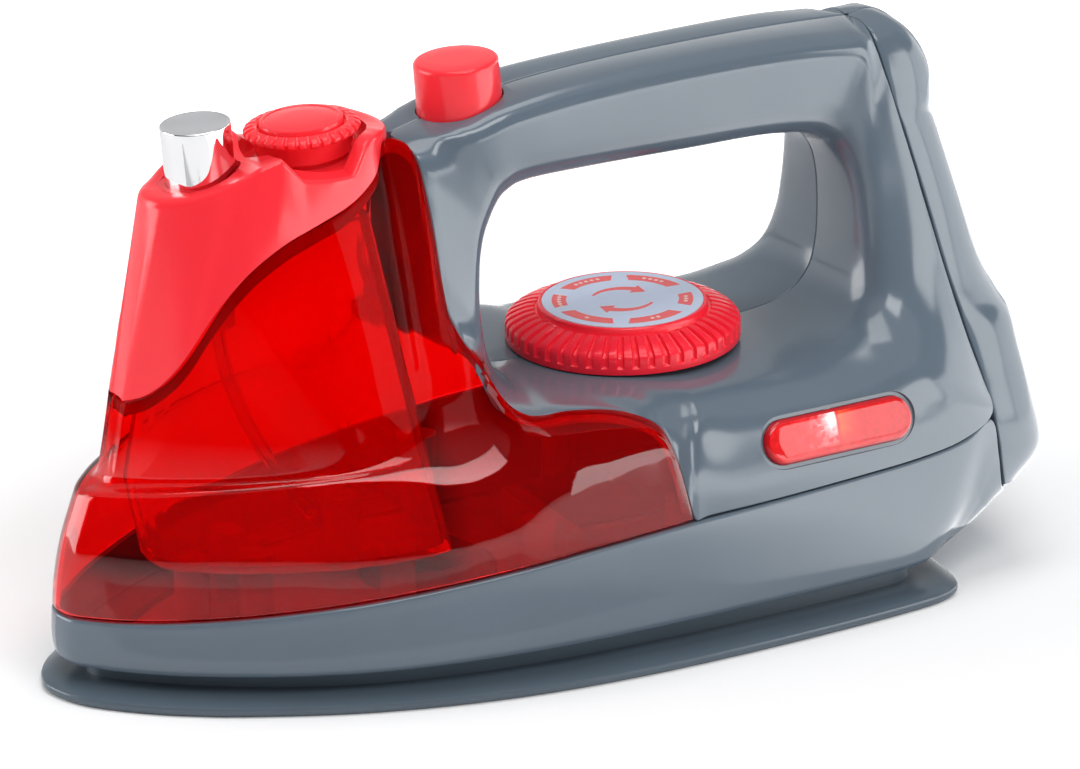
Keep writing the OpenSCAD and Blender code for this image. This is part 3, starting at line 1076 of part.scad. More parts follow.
// round hose with a bore along a bent line in the middle plane
module hose(path, radius, bore) {
    sides = 12;
    n = len(path);
    way = [for (i = [0:n - 1]) path[min(i + 1, n - 1)] - path[max(i - (i > 1 ? 1 : 0), 0)]];
    points = [for (r = [radius, bore]) for (i = [0:n - 1]) for (k = [0:sides - 1])
        let (t = way[i] / norm(way[i]))
        path[i] + r * (cos(360 * k / sides) * [0, 1, 0] + sin(360 * k / sides) * [t[2], 0, -t[0]])];
    p = function (i, k) (i % (2 * n)) * sides + k % sides;
    order = concat([for (i = [0:n - 1]) i], [for (i = [0:n - 1]) 2 * n - 1 - i], [0]);
    faces = [for (i = [0:2 * n - 1]) for (k = [0:sides - 1])
        each quad(p(order[i], k), p(order[i + 1], k), p(order[i + 1], k + 1), p(order[i], k + 1), false)];
    polyhedron(points = points, faces = faces);
}

module dip_tube() {
    color("mistyrose")
        hose(dip_path(), dip_radius, dip_bore);
}

module filler_neck() {
    color("firebrick")
        place(filler_place_share, filler_lean)
            rotate_extrude($fn = 64)
                polygon([[neck_bore, neck_low], [neck_bore, neck_flange_top], [neck_flange, neck_flange_top],
                    [neck_flange, 0], [neck_radius, 0], [neck_radius, neck_low]]);
}

module filler_cap() {
    under = neck_flange_top + running_fit;
    rim_low = filler_height * 0.68;
    rim_high = filler_height * 0.86;
    disc = filler_radius * 0.72;
    knurl = filler_radius * 0.055;
    plug = neck_bore - running_fit;
    color("tomato")
        place(filler_place_share, filler_lean)
            difference() {
                rotate_extrude($fn = 64)
                    polygon([[0, neck_low * 0.6], [plug, neck_low * 0.6], [plug, under],
                        [filler_radius * 0.8, under], [filler_radius * 0.89, rim_low * 0.9],
                        [filler_radius * 0.96, rim_low], [filler_radius, rim_low * 1.07],
                        [filler_radius, rim_high * 0.93], [filler_radius * 0.94, rim_high],
                        [disc * 1.08, filler_height * 0.95], [disc * 1.04, filler_height * 0.88],
                        [disc, filler_height * 0.88], [disc, filler_height * 0.97],
                        [disc * 0.96, filler_height], [0, filler_height]]);
                for (k = [0:filler_knurls - 1])
                    rotate([0, 0, 360 * k / filler_knurls])
                        translate([filler_radius + knurl * 0.3, 0, rim_low * 0.6])
                            cylinder(h = overrun, r = knurl, $fn = 16);
            }
}

module handle_button() {
    edge = button_diameter * 0.06;
    roof = button_height - button_wall;
    stem = button_diameter * 0.1;
    color("tomato")
        place(button_place_share, button_lean)
            rotate_extrude($fn = 64)
                polygon([[0, plunger_top + button_travel + pass_fit], [0, button_height],
                    [button_radius - edge, button_height],
                    [button_radius - edge * 0.3, button_height - edge * 0.3],
                    [button_radius, button_height - edge], [button_radius, button_low],
                    [button_radius - button_wall, button_low],
                    [button_radius - button_wall, roof], [stem, roof],
                    [stem, plunger_top + button_travel + pass_fit]]);
}

module button_spring() {
    color("lightgray")
        place(button_place_share, button_lean)
            coil(button_radius * 0.62, button_radius * 0.045, web_level, button_height - button_wall, 6);
}

module button_sleeve() {
    inner = button_radius + running_fit;
    color("dimgray")
        place(button_place_share, button_lean)
            translate([0, 0, web_level])
                difference() {
                    cylinder(h = sleeve_top - web_level, r = sleeve_outer, $fn = 64);
                    translate([0, 0, -overrun / 2])
                        cylinder(h = overrun, r = inner, $fn = 64);
                }
}

module handle_switch() {
    size = button_diameter * 0.32;
    color("black")
        place(button_place_share, button_lean)
            translate([0, 0, web_level]) {
                translate([-size / 2, -size / 2, 0])
                    cube([size, size, switch_height]);
                cylinder(h = plunger_top - web_level, r = size * 0.25, $fn = 32);
            }
}

module dial() {
    hub = dial_post_radius * 1.8;
    bore = dial_post_radius + running_fit;
    pocket = dial_post_radius * 1.5;
    low = dial_height * 0.045;
    rim = dial_height * 0.56;
    cone = dial_height * 0.84;
    label_low = dial_height - label_thickness;
    ring = label_diameter / 2 + dial_diameter * 0.02;
    shoulder = ring + dial_diameter * 0.025;
    skirt = dial_radius * 0.9;
    slope = atan2(cone - rim, dial_radius - shoulder);
    color("crimson")
        place(dial_place_share, dial_lean)
            difference() {
                rotate_extrude($fn = 96)
                    polygon([[bore, dial_washer_top], [bore, dial_post_top + running_fit],
                        [pocket, dial_post_top + running_fit], [pocket, label_low],
                        [label_diameter / 2, label_low],
                        [label_diameter / 2, dial_height - label_thickness * 0.3],
                        [ring, dial_height - label_thickness], [ring + label_thickness, cone],
                        [shoulder, cone],
                        [dial_radius * 0.985, rim], [dial_radius, rim * 0.86], [dial_radius, low],
                        [skirt, low],
                        [skirt, rim * 0.7], [hub, rim * 0.7], [hub, dial_washer_top]]);
                for (k = [0:dial_ribs - 1])
                    rotate([0, 0, 360 * k / dial_ribs])
                        translate([dial_radius, -dial_groove / 2, rim * 0.9])
                            rotate([0, slope, 0])
                                translate([-dial_radius * 0.2, 0, -dial_groove_depth])
                                    cube([dial_radius * 0.4, dial_groove, overrun]);
            }
}

module dial_label() {
    color("lightsteelblue")
        place(dial_place_share, dial_lean)
            translate([0, 0, dial_height - label_thickness])
                cylinder(h = label_thickness, d = label_diameter, $fn = 96);
}

module dial_bush() {
    color("dimgray")
        place(dial_place_share, dial_lean)
            rotate_extrude($fn = 64)
                polygon([[screw_hole, dial_seat - wall * 2], [screw_hole, dial_post_top],
                    [dial_post_radius, dial_post_top], [dial_post_radius, dial_flange_top],
                    [dial_flange, dial_flange_top], [dial_flange, dial_seat], [dial_bush_radius, dial_seat],
                    [dial_bush_radius, dial_seat - wall * 2]]);
}

module dial_washer() {
    color("lightgray")
        place(dial_place_share, dial_lean)
            translate([0, 0, dial_flange_top])
                difference() {
                    cylinder(h = dial_washer_top - dial_flange_top - running_fit, r = dial_post_radius * 1.7,
                        $fn = 64);
                    translate([0, 0, -overrun / 2])
                        cylinder(h = overrun, r = dial_post_radius + running_fit, $fn = 64);
                }
}

module dial_screw() {
    color("gray")
        place(dial_place_share, dial_lean)
            translate([0, 0, dial_post_top])
                screw(dial_post_top - dial_seat + wall);
}

module signal_lens() {
    color("red", 0.7)
        at_lens()
            pill(lens_length, lens_height, lens_back, lens_front);
}

lamp_radius = lens_height * 0.24;
holder_back = lens_back - lens_height * 0.55;
holder_length = lens_length * 0.5;
holder_height = lens_height * 0.78;
board_thickness = wall * 0.6;

module lamp_holder() {
    color("dimgray")
        at_lens()
            difference() {
                pill(holder_length, holder_height, holder_back, lens_back);
                translate([0, 0, holder_back - overrun / 2])
                    cylinder(h = overrun, r = lamp_radius, $fn = 40);
            }
}

module lamp() {
    color("orange")
        at_lens()
            translate([0, 0, holder_back]) {
                cylinder(h = lens_height * 0.26, r = lamp_radius, $fn = 40);
                intersection() {
                    translate([0, 0, lens_height * 0.26])
                        sphere(r = lamp_radius, $fn = 40);
                    cylinder(h = overrun, r = lamp_radius * 1.5, $fn = 40);
                }
            }
}

module lamp_board() {
    color("darkgreen")
        at_lens()
            pill(holder_length * 0.8, holder_height, holder_back - board_thickness, holder_back);
}

module speaker() {
    color("black")
        translate(at(speaker_place_share) + [0, 0, frame_top])
            rotate_extrude($fn = 64)
                polygon([[0, speaker_height * 0.3], [speaker_radius * 0.75, 0], [speaker_radius, 0],
                    [speaker_radius, speaker_height * 0.3], [speaker_radius * 0.9, speaker_height * 0.45],
                    [speaker_radius * 0.55, speaker_height * 0.6], [speaker_radius * 0.55, speaker_height],
                    [0, speaker_height]]);
}

module battery_box() {
    color("dimgray")
        difference() {
            bay_block(box_wall, riser_top, box_top, 0);
            bay_block(0, 0, box_top - box_wall, 0);
        }
}

module batteries() {
    color("goldenrod")
        for (s = [-1, 1])
            translate(at(battery_place_share) + [0, s * (cell_radius + wall * 0.2), cell_height])
                rotate([0, s * 90, 0])
                    translate([0, 0, -cell_length / 2]) {
                        cylinder(h = cell_length - cell_nub, r = cell_radius, $fn = 48);
                        cylinder(h = cell_length, r = cell_radius * 0.38, $fn = 32);
                    }
}

module battery_contacts() {
    color("silver")
        for (s = [0, 1])
            translate(at(battery_place_share) + [-bay_length / 2 + s * (bay_length - contact_thickness),
                -bay_width * 0.45, riser_top])
                cube([contact_thickness, bay_width * 0.9, box_top - box_wall - riser_top]);
}

module circuit_board() {
    size = [bay_length * 0.9, bay_width];
    color("darkgreen")
        translate(at(battery_place_share) + [0, 0, box_top]) {
            translate([-size[0] / 2, -size[1] / 2, 0])
                cube([size[0], size[1], board_thickness]);
            translate([-size[0] * 0.1, -size[1] * 0.2, board_thickness])
                cube([size[0] * 0.25, size[1] * 0.4, wall]);
            translate([size[0] * 0.3, 0, board_thickness])
                cylinder(h = wall * 3, r = wall * 1.5, $fn = 32);
        }
}

module body_screws() {
    color("gray")
        for (s = body_screw_shares)
            along_side(s, -1)
                translate([0, 0, screw_seat(s)])
                    screw(screw_seat(s) + half_at(s[2]) * screw_tip_share);
}

module base_screws() {
    color("gray")
        base_screw_places()
            translate([0, 0, base_screw_seat])
                rotate([180, 0, 0])
                    screw(base_screw_length);
}

module door_screw() {
    color("gray")
        translate(door_screw_place + [0, 0, door_screw_seat])
            rotate([180, 0, 0])
                screw(riser_top - door_screw_seat - wall * 0.2);
}

// draw
sole_plate();
battery_door();
lower_body();
inner_frame();
shell_left();
shell_right();
rear_cover_left();
rear_cover_right();
front_shroud();
water_tank();
spray_head();
pump_barrel();
spray_button();
pump_piston();
spray_spring();
dip_tube();
filler_neck();
filler_cap();
handle_button();
button_spring();
button_sleeve();
handle_switch();
dial();
dial_label();
dial_bush();
dial_washer();
dial_screw();
signal_lens();
lamp_holder();
lamp();
lamp_board();
speaker();
battery_box();
batteries();
battery_contacts();
circuit_board();
body_screws();
base_screws();
door_screw();
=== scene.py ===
"""Looks of the toy iron: smooth skins, controls, materials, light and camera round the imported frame."""

import json
import math

import bmesh
import bpy
import numpy as np
from mathutils import Matrix, Vector


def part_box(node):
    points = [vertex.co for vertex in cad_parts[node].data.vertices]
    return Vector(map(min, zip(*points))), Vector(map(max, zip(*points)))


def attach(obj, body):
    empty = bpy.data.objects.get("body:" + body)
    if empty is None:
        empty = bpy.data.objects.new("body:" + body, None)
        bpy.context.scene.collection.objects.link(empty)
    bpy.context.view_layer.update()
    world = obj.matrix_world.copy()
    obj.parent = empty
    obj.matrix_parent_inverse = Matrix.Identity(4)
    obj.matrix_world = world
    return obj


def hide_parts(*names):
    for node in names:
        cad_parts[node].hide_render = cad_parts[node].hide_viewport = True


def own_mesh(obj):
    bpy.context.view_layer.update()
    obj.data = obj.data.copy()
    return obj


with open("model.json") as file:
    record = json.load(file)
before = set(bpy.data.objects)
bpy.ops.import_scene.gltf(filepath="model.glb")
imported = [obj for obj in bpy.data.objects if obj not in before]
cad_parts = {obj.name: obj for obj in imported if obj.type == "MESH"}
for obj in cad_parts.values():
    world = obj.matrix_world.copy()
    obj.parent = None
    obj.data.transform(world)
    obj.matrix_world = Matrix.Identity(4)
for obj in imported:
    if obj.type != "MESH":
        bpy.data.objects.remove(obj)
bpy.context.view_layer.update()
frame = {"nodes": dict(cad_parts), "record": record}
NODE = frame["nodes"]

MM = 0.001
NOSE = -120.5  # x of the nose tip, mm
UP = Vector((0, 0, 1))
BACK = Vector((1, 0, 0))
ORIGIN = Vector((0, 0, 0))

# Sections of the moulded skins, mm: x from the nose tip, half width, height; last the corner reaches.
SHELL = [
    ((111.5, 0, 102), (110.6, 14, 102.6), (103.5, 14.8, 121.6), (94, 0, 119.9), (9, 5.5)),
    ((114, 0, 103.4), (113.2, 14, 103.8), (109, 14.6, 123.6), (104, 0, 122.3), (9, 5.5)),
    ((119, 0, 104.2), (118.6, 13.9, 104.4), (117, 14.3, 124.9), (115, 0, 124.8), (9, 5.5)),
    ((128, 0, 104.6), (128, 13.7, 104.6), (127.6, 13.9, 126.1), (127, 0, 126.3), (9, 5.5)),
    ((142, 0, 104.8), (142, 13.5, 104.8), (142, 13.7, 127.2), (142, 0, 127.5), (9, 5.5)),
    ((157, 0, 105), (157, 13.6, 105), (157.5, 13.8, 128), (158, 0, 128.3), (9, 5.5)),
    ((170, 0, 105.2), (170, 13.9, 105.4), (172, 14.1, 128.5), (173, 0, 128.8), (9, 5.5)),
    ((180, 0, 104.9), (180.6, 14.5, 105.7), (185, 14.5, 128.6), (187, 0, 129), (9, 5.5)),
    ((187, 0, 103.9), (188, 15, 105.3), (195, 14.8, 128), (198, 0, 128.9), (9, 5.5)),
    ((191.2, 0, 102.5), (192.4, 15.7, 104), (200.4, 14.9, 127.2), (204.1, 0, 128.7), (8.5, 5.5)),
    ((193.8, 0, 100.4), (195, 16.6, 101.6), (202.4, 15.6, 123), (204.4, 9.6, 127.6), (8.5, 5)),
    ((195.8, 0, 96.8), (196.8, 18, 97.4), (203.4, 17, 112), (206.2, 15, 118), (8, 6)),
    ((197, 0, 91), (197.9, 19.7, 91.4), (204.6, 19.2, 102), (209.2, 18, 106), (8, 6)),
    ((197.4, 0, 83.5), (198.2, 21.5, 83.5), (206.4, 22, 90), (213.6, 21.8, 88.5), (8, 6)),
    ((197.2, 0, 76.5), (197.8, 23.6, 75.8), (208, 26, 77.5), (217, 26, 72.5), (9, 8)),
    ((195.8, 0, 69.6), (196.2, 27, 68.6), (208.8, 32, 65.5), (219.6, 31.8, 58), (10, 9)),
    ((192.2, 0, 64.8), (192.8, 31.6, 63.4), (206.6, 38.8, 57.5), (221.4, 36.8, 48), (11, 10)),
    ((187.4, 0, 62.2), (188, 35, 60.8), (202, 43, 53.6), (222, 40.6, 40.6), (11, 10)),
    ((182, 0, 60.9), (182.5, 37.2, 59), (192, 45, 50.2), (212, 44.6, 37.2), (10, 10)),
    ((175, 0, 60.2), (175, 39.2, 57.8), (180, 46.6, 48.6), (198, 46.9, 35.7), (9, 10)),
    ((163, 0, 60), (163, 40.6, 57.6), (164, 47.6, 47), (177, 48.8, 34.8), (9, 10)),
    ((152, 0, 59.9), (150, 41.2, 57.8), (148, 48.2, 46), (156, 49.9, 33.9), (9, 9)),
    ((146, 0, 59.8), (143.5, 41.4, 58.2), (140, 48, 48), (141, 50.3, 33.4), (9, 9)),
    ((144.5, 0, 59.8), (141.5, 40.4, 58.4), (138, 47.6, 49), (137, 50.5, 33.2), (9, 9)),
    ((143, 0, 59.8), (139.5, 38.5, 58.6), (136.5, 46.8, 51), (135.3, 49.4, 39.1), (9, 8)),
    ((139, 0, 59.7), (136, 34, 59), (133.6, 43.8, 55), (133.5, 46.6, 48.8), (8, 8)),
    ((134, 0, 59.6), (132, 26, 59.3), (129.6, 39.5, 58.4), (131.2, 44.2, 54.6), (8, 6)),
    ((128, 0, 59.4), (126.8, 22, 59.3), (125, 37, 59.3), (126.3, 42, 57.6), (8, 5)),
    ((121, 0, 59.2), (120.6, 18, 59.2), (119, 32, 59.4), (120, 40, 59.5), (8, 5)),
    ((115, 0, 59), (113.8, 16, 59.1), (111.6, 28, 59.6), (110.5, 39, 60.6), (8, 5)),
    ((111.4, 0, 59.4), (110, 16, 59.5), (106, 28, 60), (104, 38.5, 60.4), (8, 5)),
    ((108.4, 0, 60.8), (107, 16, 61), (102.2, 26.5, 61.8), (99.3, 37, 61.2), (7, 5)),
    ((106.2, 0, 63.6), (104.8, 15.4, 63.8), (99.6, 24, 65), (95.6, 34, 64.6), (7, 5)),
    ((105, 0, 67.4), (103.6, 14.8, 67.6), (98.4, 20.6, 69.4), (94.5, 29.5, 69.7), (6, 5)),
    ((104.4, 0, 72), (103, 14.4, 72.2), (97.8, 18, 74), (92.5, 22, 75.6), (6, 5)),
    ((104.2, 0, 78.5), (102.7, 14, 78.7), (97, 16.4, 81.5), (90.3, 18.5, 83.1), (6, 5)),
    ((104.6, 0, 86), (103.2, 13.8, 86.4), (96.2, 15.2, 93), (89.2, 16, 98.1), (6, 5)),
    ((105.8, 0, 92.6), (104.5, 13.7, 93.2), (96, 14.6, 104), (87.6, 14.5, 109.1), (6.5, 6)),
    ((107.4, 0, 97), (106.2, 13.8, 97.6), (96.5, 14.6, 112), (86.5, 12.5, 115.6), (7, 7)),
    ((109, 0, 99.7), (108, 13.9, 100.4), (97.5, 14.7, 118.5), (85.1, 6, 117.6), (8, 6.5)),
    ((110.2, 0, 101), (109.3, 14, 101.6), (99.5, 14.8, 120.5), (86.6, 0, 117.8), (9, 6)),
]
COVER = [
    ((204.2, 0.8, 128.6), (204.5, 0.7, 128.7), (204.8, 0.4, 128.8), (205.1, 0, 128.8), (0.1, 0.1)),
    ((204.5, 4.5, 128.7), (206.5, 4.9, 129), (208.2, 2.8, 129.5), (209, 0, 129.6), (1, 1.5)),
    ((204.4, 9.6, 127.6), (208.5, 10.6, 127), (211.8, 8.2, 128.5), (213, 0, 128.9), (2, 3)),
    ((205.1, 12.7, 123.5), (212, 14, 121.8), (217, 10.5, 124.6), (217.8, 0, 125.6), (5, 5)),
    ((206.2, 15, 118), (214.6, 15.6, 115.6), (221, 11.5, 118.2), (221.6, 0, 119.6), (7, 6)),
    ((207.4, 16.4, 112.4), (215, 17, 110), (221.2, 12.4, 112.2), (221.8, 0, 113.4), (7, 6)),
    ((208.4, 17.3, 108.6), (215.2, 17.6, 106.4), (220.8, 12.8, 108), (221.4, 0, 108.8), (7, 6)),
    ((209.6, 18.3, 104.5), (216.6, 18.6, 102.2), (222.4, 13.6, 103.2), (223, 0, 104), (7, 6)),
    ((213.6, 21.8, 88.5), (221, 22, 86.2), (227, 16.6, 87.2), (227.8, 0, 88), (8, 7)),
    ((217, 26, 72.5), (225.2, 25.6, 71), (232, 18.6, 71.8), (232.8, 0, 72.6), (9, 7)),
    ((218.6, 29.2, 64.5), (228.4, 28.4, 63.8), (235.4, 20.6, 64.4), (236.2, 0, 65), (9, 7)),
    ((219.6, 31.8, 58), (231, 31.4, 58.6), (237.4, 23.4, 59.2), (238.2, 0, 59.8), (9, 7)),
    ((221, 35.6, 50), (232.6, 34.8, 50.6), (237.8, 26.6, 51), (238.6, 0, 51.6), (9, 8)),
    ((222, 40, 41), (234, 38.6, 41.4), (238.6, 30, 41.6), (239.5, 0, 42.2), (9, 9)),
    ((223, 41.6, 33.4), (236, 40.4, 32), (240.2, 31.6, 32), (241, 0, 32.6), (9, 10)),
    ((223.6, 42, 28.6), (234.8, 40.6, 27), (238.8, 31.8, 27.4), (239.8, 0, 28.2), (9, 10)),
    ((224.6, 42, 22.8), (229.4, 40.6, 22.6), (233.2, 31.4, 22.6), (234.6, 0, 22.6), (5, 9)),
]
LOWER = [
    ((3, 0, 19), (2.6, 0, 11), (4, 0, 6.8), (8.2, 0, 8.8), (15.5, 0, 8.8)),
    ((4, 4.6, 19.1), (3.6, 4.8, 11), (5, 4.4, 6.8), (9.1, 3.6, 8.8), (16.3, 2.3, 8.8)),
    ((6.6, 8.4, 19.3), (6.2, 8.8, 11), (7.4, 8, 6.8), (11.4, 6.6, 8.8), (18.3, 4.2, 8.8)),
    ((12.4, 14.6, 19.8), (12, 15.2, 11), (13, 14, 6.9), (16.4, 11.5, 8.8), (22.3, 7.2, 8.8)),
    ((21, 21.6, 20.6), (20.6, 22.4, 11.2), (21.4, 21, 7), (24.2, 17.9, 8.8), (29, 12.4, 8.8)),
    ((33, 29.4, 21.9), (32.6, 30.2, 11.6), (33.2, 28.8, 7.2), (35.3, 25.2, 8.8), (39, 18.9, 8.8)),
    ((46, 36.2, 23.5), (45.6, 37, 12), (46, 35.6, 7.4), (47.7, 31.8, 8.8), (50.7, 25.1, 8.8)),
    ((61, 42.2, 25.3), (60.6, 43, 12.5), (61, 41.6, 7.6), (62.2, 37.6, 8.8), (64.4, 30.6, 8.8)),
    ((77, 46.4, 27.2), (76.6, 47.2, 13.2), (77, 45.8, 7.8), (77.9, 41.7, 8.8), (79.4, 34.6, 8.8)),
    ((95, 49.2, 29.2), (94.6, 50, 14), (95, 48.6, 8), (95.5, 44.4, 8.8), (96.4, 37.2, 8.8)),
    ((114, 50.5, 31.2), (113.6, 51.3, 14.8), (114, 50, 8.2), (114.3, 45.8, 8.8), (114.7, 38.5, 8.8)),
    ((136, 50.6, 33), (135.6, 51.4, 15.4), (136, 50.2, 8.4), (136, 46, 8.8), (136, 38.7, 8.8)),
    ((156, 50.1, 33.9), (155.6, 51, 15.6), (156, 49.8, 8.6), (155.8, 45.6, 8.8), (155.5, 38.3, 8.8)),
    ((177, 49, 34.8), (176, 50.2, 15.8), (176, 49, 8.6), (175.6, 44.8, 8.8), (174.9, 37.6, 8.8)),
    ((198, 47.1, 35.7), (194, 48.8, 15.8), (192, 47.8, 8.6), (191.2, 43.7, 8.8), (189.7, 36.5, 8.8)),
    ((212, 44.9, 37.2), (205, 47, 17), (199.6, 46.4, 8.6), (198.1, 42.5, 8.8), (195.5, 35.7, 8.8)),
    ((221.2, 41.2, 39.6), (213, 44.4, 20), (203.6, 44.2, 8.6), (201.5, 40.6, 8.8), (197.7, 34.3, 8.8)),
    ((223, 41.8, 31.6), (215, 43.4, 17.6), (204.8, 42.6, 8.6), (202.5, 39.1, 8.8), (198.5, 33, 8.8)),
    ((224.4, 42, 22.4), (216.6, 42, 15.6), (205.8, 40.6, 8.6), (203.3, 37.2, 8.8), (199, 31.3, 8.8)),
    ((228.4, 37.6, 22.2), (219.6, 37, 15.4), (207.6, 36, 8.6), (204.6, 33, 8.8), (199.5, 27.9, 8.8)),
    ((231.4, 30, 22.2), (222, 29.4, 15.4), (209.2, 28.6, 8.6), (205.8, 26.2, 8.8), (199.9, 21.9, 8.8)),
    ((233.4, 17, 22.2), (223.8, 16.6, 15.4), (210.4, 16, 8.6), (206.5, 14.6, 8.8), (199.6, 12, 8.8)),
    ((234.2, 0, 22.2), (224.6, 0, 15.4), (211, 0, 8.6), (206.8, 0, 8.8), (199.5, 0, 8.8)),
]
LOWER_REACH = (
    [(5, 3, 1.5)] * 16 + [(6, 3, 1.5), (5, 3, 1.5)] + [(4, 3, 1.5)] * 5)
LOWER = [(*points, reach) for points, reach in zip(LOWER, LOWER_REACH)]
SHROUD = [
    ((3, 0, 19.4), (4, 0, 32), (9.4, 0, 46.6), (14.4, 0, 47.6), (19.4, 0, 66.6)),
    ((4, 4.6, 19.5), (5, 4, 32), (10.2, 3.4, 46.9), (14.8, 2.6, 47.9), (19.3, 2, 66.6)),
    ((6.6, 8.4, 19.7), (7.6, 7.6, 32.3), (12.2, 6.4, 47.3), (16.2, 4.8, 48.2), (19, 4, 67)),
    ((12.4, 14.6, 20.2), (13.2, 13.4, 32.8), (17, 11.4, 48), (20.2, 8.8, 48.8), (21.8, 8.6, 69)),
    ((21, 21.6, 21), (21.6, 20.4, 33.6), (24.4, 17.2, 49), (26.8, 14.2, 49.6), (24.6, 13.1, 73)),
    ((33, 29.4, 22.3), (33.4, 28, 34.6), (35.2, 24.2, 50.2), (36.6, 21.6, 50.7), (27.7, 17.1, 79)),
    ((42, 34.2, 23.4), (42.4, 32.8, 35.4), (43.6, 28.6, 51), (44.4, 26.2, 51.5), (33, 21.2, 89.3)),
    ((50, 38, 24.4), (50.4, 36.6, 36), (51, 32, 51.6), (51.4, 29.8, 52.2), (40.4, 23, 97.8)),
    ((57, 40.8, 25.3), (57.4, 39.4, 36.6), (57.8, 34.6, 52), (58, 32.4, 52.8), (49.1, 23, 103.2)),
    ((63, 42.8, 26), (63.4, 41.4, 37), (64, 36.8, 51.8), (64.2, 33.4, 54), (57.5, 22, 106.1)),
    ((69, 44.5, 26.7), (69.4, 43.2, 37.4), (70.4, 38.8, 51), (70.8, 33, 56), (66.4, 20, 108.7)),
    ((75, 46, 27.4), (75.6, 44.8, 37.8), (77, 40.6, 50.4), (77.4, 31, 58.6), (75.7, 16, 114.3)),
    ((80, 46.9, 27.9), (80.8, 45.8, 38), (82.4, 41.8, 50.2), (82.6, 28.6, 61), (81.4, 8.6, 119.4)),
    ((83.6, 47.5, 28.3), (84.4, 46.6, 38.2), (86, 42.4, 50.4), (86, 27.4, 63), (86.5, 12.5, 115.6)),
    ((87.4, 48.1, 28.7), (88.2, 47.2, 38.5), (89.6, 43, 51), (89.2, 27.6, 64.4), (89.2, 16, 98.1)),
    ((91, 48.6, 29.1), (91.6, 47.7, 38.8), (92.6, 43.6, 51.6), (91.8, 29.4, 64.8), (90.3, 18.5, 83.1)),
    ((95, 49.2, 29.6), (95.4, 48.3, 39.1), (95.8, 44.4, 52.6), (94.4, 33.4, 64.2), (92.5, 22, 75.6)),
    ((99, 49.6, 30), (99.2, 48.8, 39.4), (99, 45.2, 53.6), (96.4, 37.6, 62.6), (94.5, 29.5, 69.7)),
    ((103.6, 49.9, 30.5), (103.6, 49.2, 39.7), (103, 45.8, 54.4), (99.8, 40.6, 61), (95.6, 34, 64.6)),
    ((108, 50.1, 31), (107.8, 49.5, 40), (106.8, 46.2, 54.8), (103.8, 41.6, 60.4), (99.3, 37, 61.2)),
    ((112.4, 50.3, 31.4), (112.2, 49.7, 40.2), (111, 46.6, 55), (108.6, 42.4, 60), (104, 38.5, 60.4)),
    ((117.4, 50.5, 31.8), (117.2, 50, 40.4), (116.2, 47, 55), (114.6, 43, 59.8), (110.5, 39, 60.6)),
    ((124, 50.6, 32.4), (123.8, 50.1, 40.4), (122.8, 47.5, 54.4), (121.8, 44.2, 58.8), (120, 40, 59.5)),
    ((129.4, 50.6, 32.8), (129.2, 50.2, 40), (128, 48, 53), (127.2, 45.8, 56.8), (126.3, 42, 57.6)),
    ((133, 50.6, 33.1), (132.6, 50.3, 38.8), (131.4, 48.9, 49.6), (130.8, 47.6, 53.2), (131.2, 44.2, 54.6)),
    ((134.8, 50.6, 33.3), (134.6, 50.4, 37), (133.8, 49.6, 43), (133.2, 48.8, 47), (133.5, 46.6, 48.8)),
    ((136, 50.6, 33.4), (135.9, 50.5, 34.6), (135.6, 50.2, 36.4), (135.4, 50, 37.6), (135.3, 49.4, 39.1)),
]
SHROUD_REACH = (
    [(9, 1.6, 2)] * 5
    + [(9, 1.6, 2.2), (9, 1.6, 2.4), (9, 1.6, 2.8), (9, 2.2, 4), (9, 3.5, 6), (9, 5.5, 9), (9, 7, 12)]
    + [(9, 7, 14)] * 3 + [(9, 7, 12), (9, 7, 9), (9, 7, 7), (9, 7, 5)] + [(9, 7, 4)] * 3
    + [(8, 6, 4), (7, 6, 4), (5, 4, 2), (3, 3, 2), (0.5, 1.6, 0.5)])
SHROUD = [(*points, reach) for points, reach in zip(SHROUD, SHROUD_REACH)]
